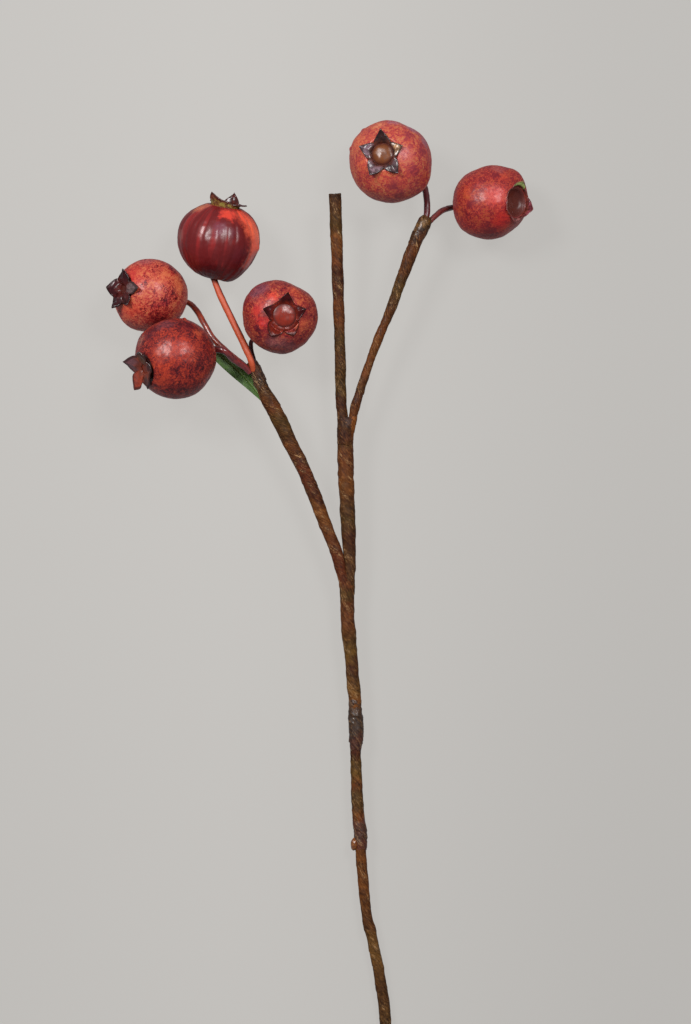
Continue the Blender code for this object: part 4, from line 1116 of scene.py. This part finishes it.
def makeLeaf():
    route = smoothRoute(leaf["route"], 0.3)
    centre, width, along = route["centre"], route["radius"][:, None], route["along"][:, None]
    run = np.gradient(centre, axis=0)
    across = unit(np.stack((-run[:, 1], run[:, 0], 0 * run[:, 0]), -1))
    side = np.linspace(-0.5, 0.5, 25)
    over = np.abs(side)                     # how far each point is from the middle rib
    sheet = centre[:, None] + across[:, None] * (side[:, None] * width[..., None])
    lift = leaf["fold"] * np.where(side < 0, -1, 0.8) * over * width
    (veinDepth, closeness, slant), (ribDepth, ribWidth) = leaf["veins"], leaf["rib"]
    lift = lift + veinDepth * over * np.cos((along - over * slant) * closeness)
    lift = lift - ribDepth * bell(side, 0, ribWidth) + 0.15 * cloud(sheet, 4.0, 71)
    sheet[..., 2] += lift
    half = np.zeros((len(side), 3))
    half[:, 2] = leaf["thick"] * (1 - 2 * over ** 2) / 2
    rings = np.concatenate((sheet + half, (sheet - half)[:, ::-1]), axis=1)
    over = np.append(over, over[::-1]) + 0 * along
    flow = np.stack((along + 0 * over, over * 4, 0 * over), -1)
    item = ringMesh("leaf_blade", rings, {"over": over, "flow": flow})
    material, tree = newMaterial("leaf_green", {"Coat Weight": 0.1})
    where = layerOf(tree, "flow", "Vector")
    mottle, fibres = speckle(tree, where, 1.2, 4, 0.6), speckle(tree, where, 0.4, 3)
    colour = tint(tree, rgba(leaf["dark"]), leaf["green"], mottle, 0.35, 0.65)
    colour = tint(tree, colour, leaf["vein"], layerOf(tree, "over"), 0.05, 0.0, 0.7)
    rough = remap(tree, mottle, 0.3, 0.7, 0.45, 0.6)
    plugIn(material, colour, rough, bumpsOf(tree, fibres, 0.3, 0.1))
    finishPiece(item, "leaf", material)


makeLeaf()
print("leaf and drop added")


# Table, light and camera

table = {"half": 1.5, "colour": "393938", "glow": "bfbcb8"}      # half is metres from its middle
lamps = [
    {"name": "left_softbox", "from": (-0.48, 0.38, 0.80), "far": 0.85, "size": 0.24, "power": 6.7},
    {"name": "right_softbox", "from": (0.36, 0.38, 0.85), "far": 0.85, "size": 0.24, "power": 4.9},
]
sky = {"colour": "e4e7ee", "strength": 0.30}
view = {"at": (-0.138, 19.587, 948.7), "lens": 120, "sensor": 36}


def addItem(name, data, place=(0, 0, 0)):
    item = bpy.data.objects.new(name, data)
    item.location = place
    bpy.context.scene.collection.objects.link(item)
    return item


def makeTable():
    half = table["half"]
    mesh = bpy.data.meshes.new("table")
    mesh.from_pydata([(-half, -half, 0), (half, -half, 0), (half, half, 0), (-half, half, 0)], [],
                     [(0, 1, 2, 3)])
    material, tree = newMaterial("pale_table", {
        "Base Color": rgba(table["colour"]), "Roughness": 0.9, "Specular IOR Level": 0.1,
        "Emission Color": rgba(table["glow"])})
    # a glow that falls off to both sides and towards the near edge
    split = addNode(tree, "SeparateXYZ", {0: addNode(tree, "TexCoord").outputs["Object"]}).outputs
    right = remap(tree, split["X"], -0.03, 0.10, 1.0, 0.885)
    left = remap(tree, split["X"], -0.11, -0.02, 0.96, 1.0)
    near = remap(tree, split["Y"], -0.14, 0.14, 0.935, 1.005)
    glow = combine(tree, "MULTIPLY", combine(tree, "MULTIPLY", right, left), near)
    mesh.materials.append(plugIn(material, glow=glow))
    item = addItem("table", mesh)
    item.visible_glossy = False         # the glow doesn't haze the dark skins


def makeLights():
    world = bpy.data.worlds.new("studio")
    world.use_nodes = True
    background = world.node_tree.nodes["Background"]
    background.inputs["Color"].default_value = rgba(sky["colour"])
    background.inputs["Strength"].default_value = sky["strength"]
    bpy.context.scene.world = world
    middle = (Vector((0, 50, 10)) + shift) * mm
    for lamp in lamps:
        light = bpy.data.lights.new(lamp["name"], "AREA")
        light.size = lamp["size"]
        light.energy = lamp["power"]
        way = Vector(lamp["from"])
        item = addItem(lamp["name"], light, middle + way.normalized() * lamp["far"])
        item.rotation_euler = way.to_track_quat("Z", "Y").to_euler()


def makeCamera():
    data = bpy.data.cameras.new("camera")
    data.lens = view["lens"]
    data.sensor_width = view["sensor"]
    bpy.context.scene.camera = addItem("camera", data, (Vector(view["at"]) + shift) * mm)


makeTable()
makeLights()
makeCamera()
bpy.context.scene.view_settings.view_transform = "Standard"
print("table, light and camera set")
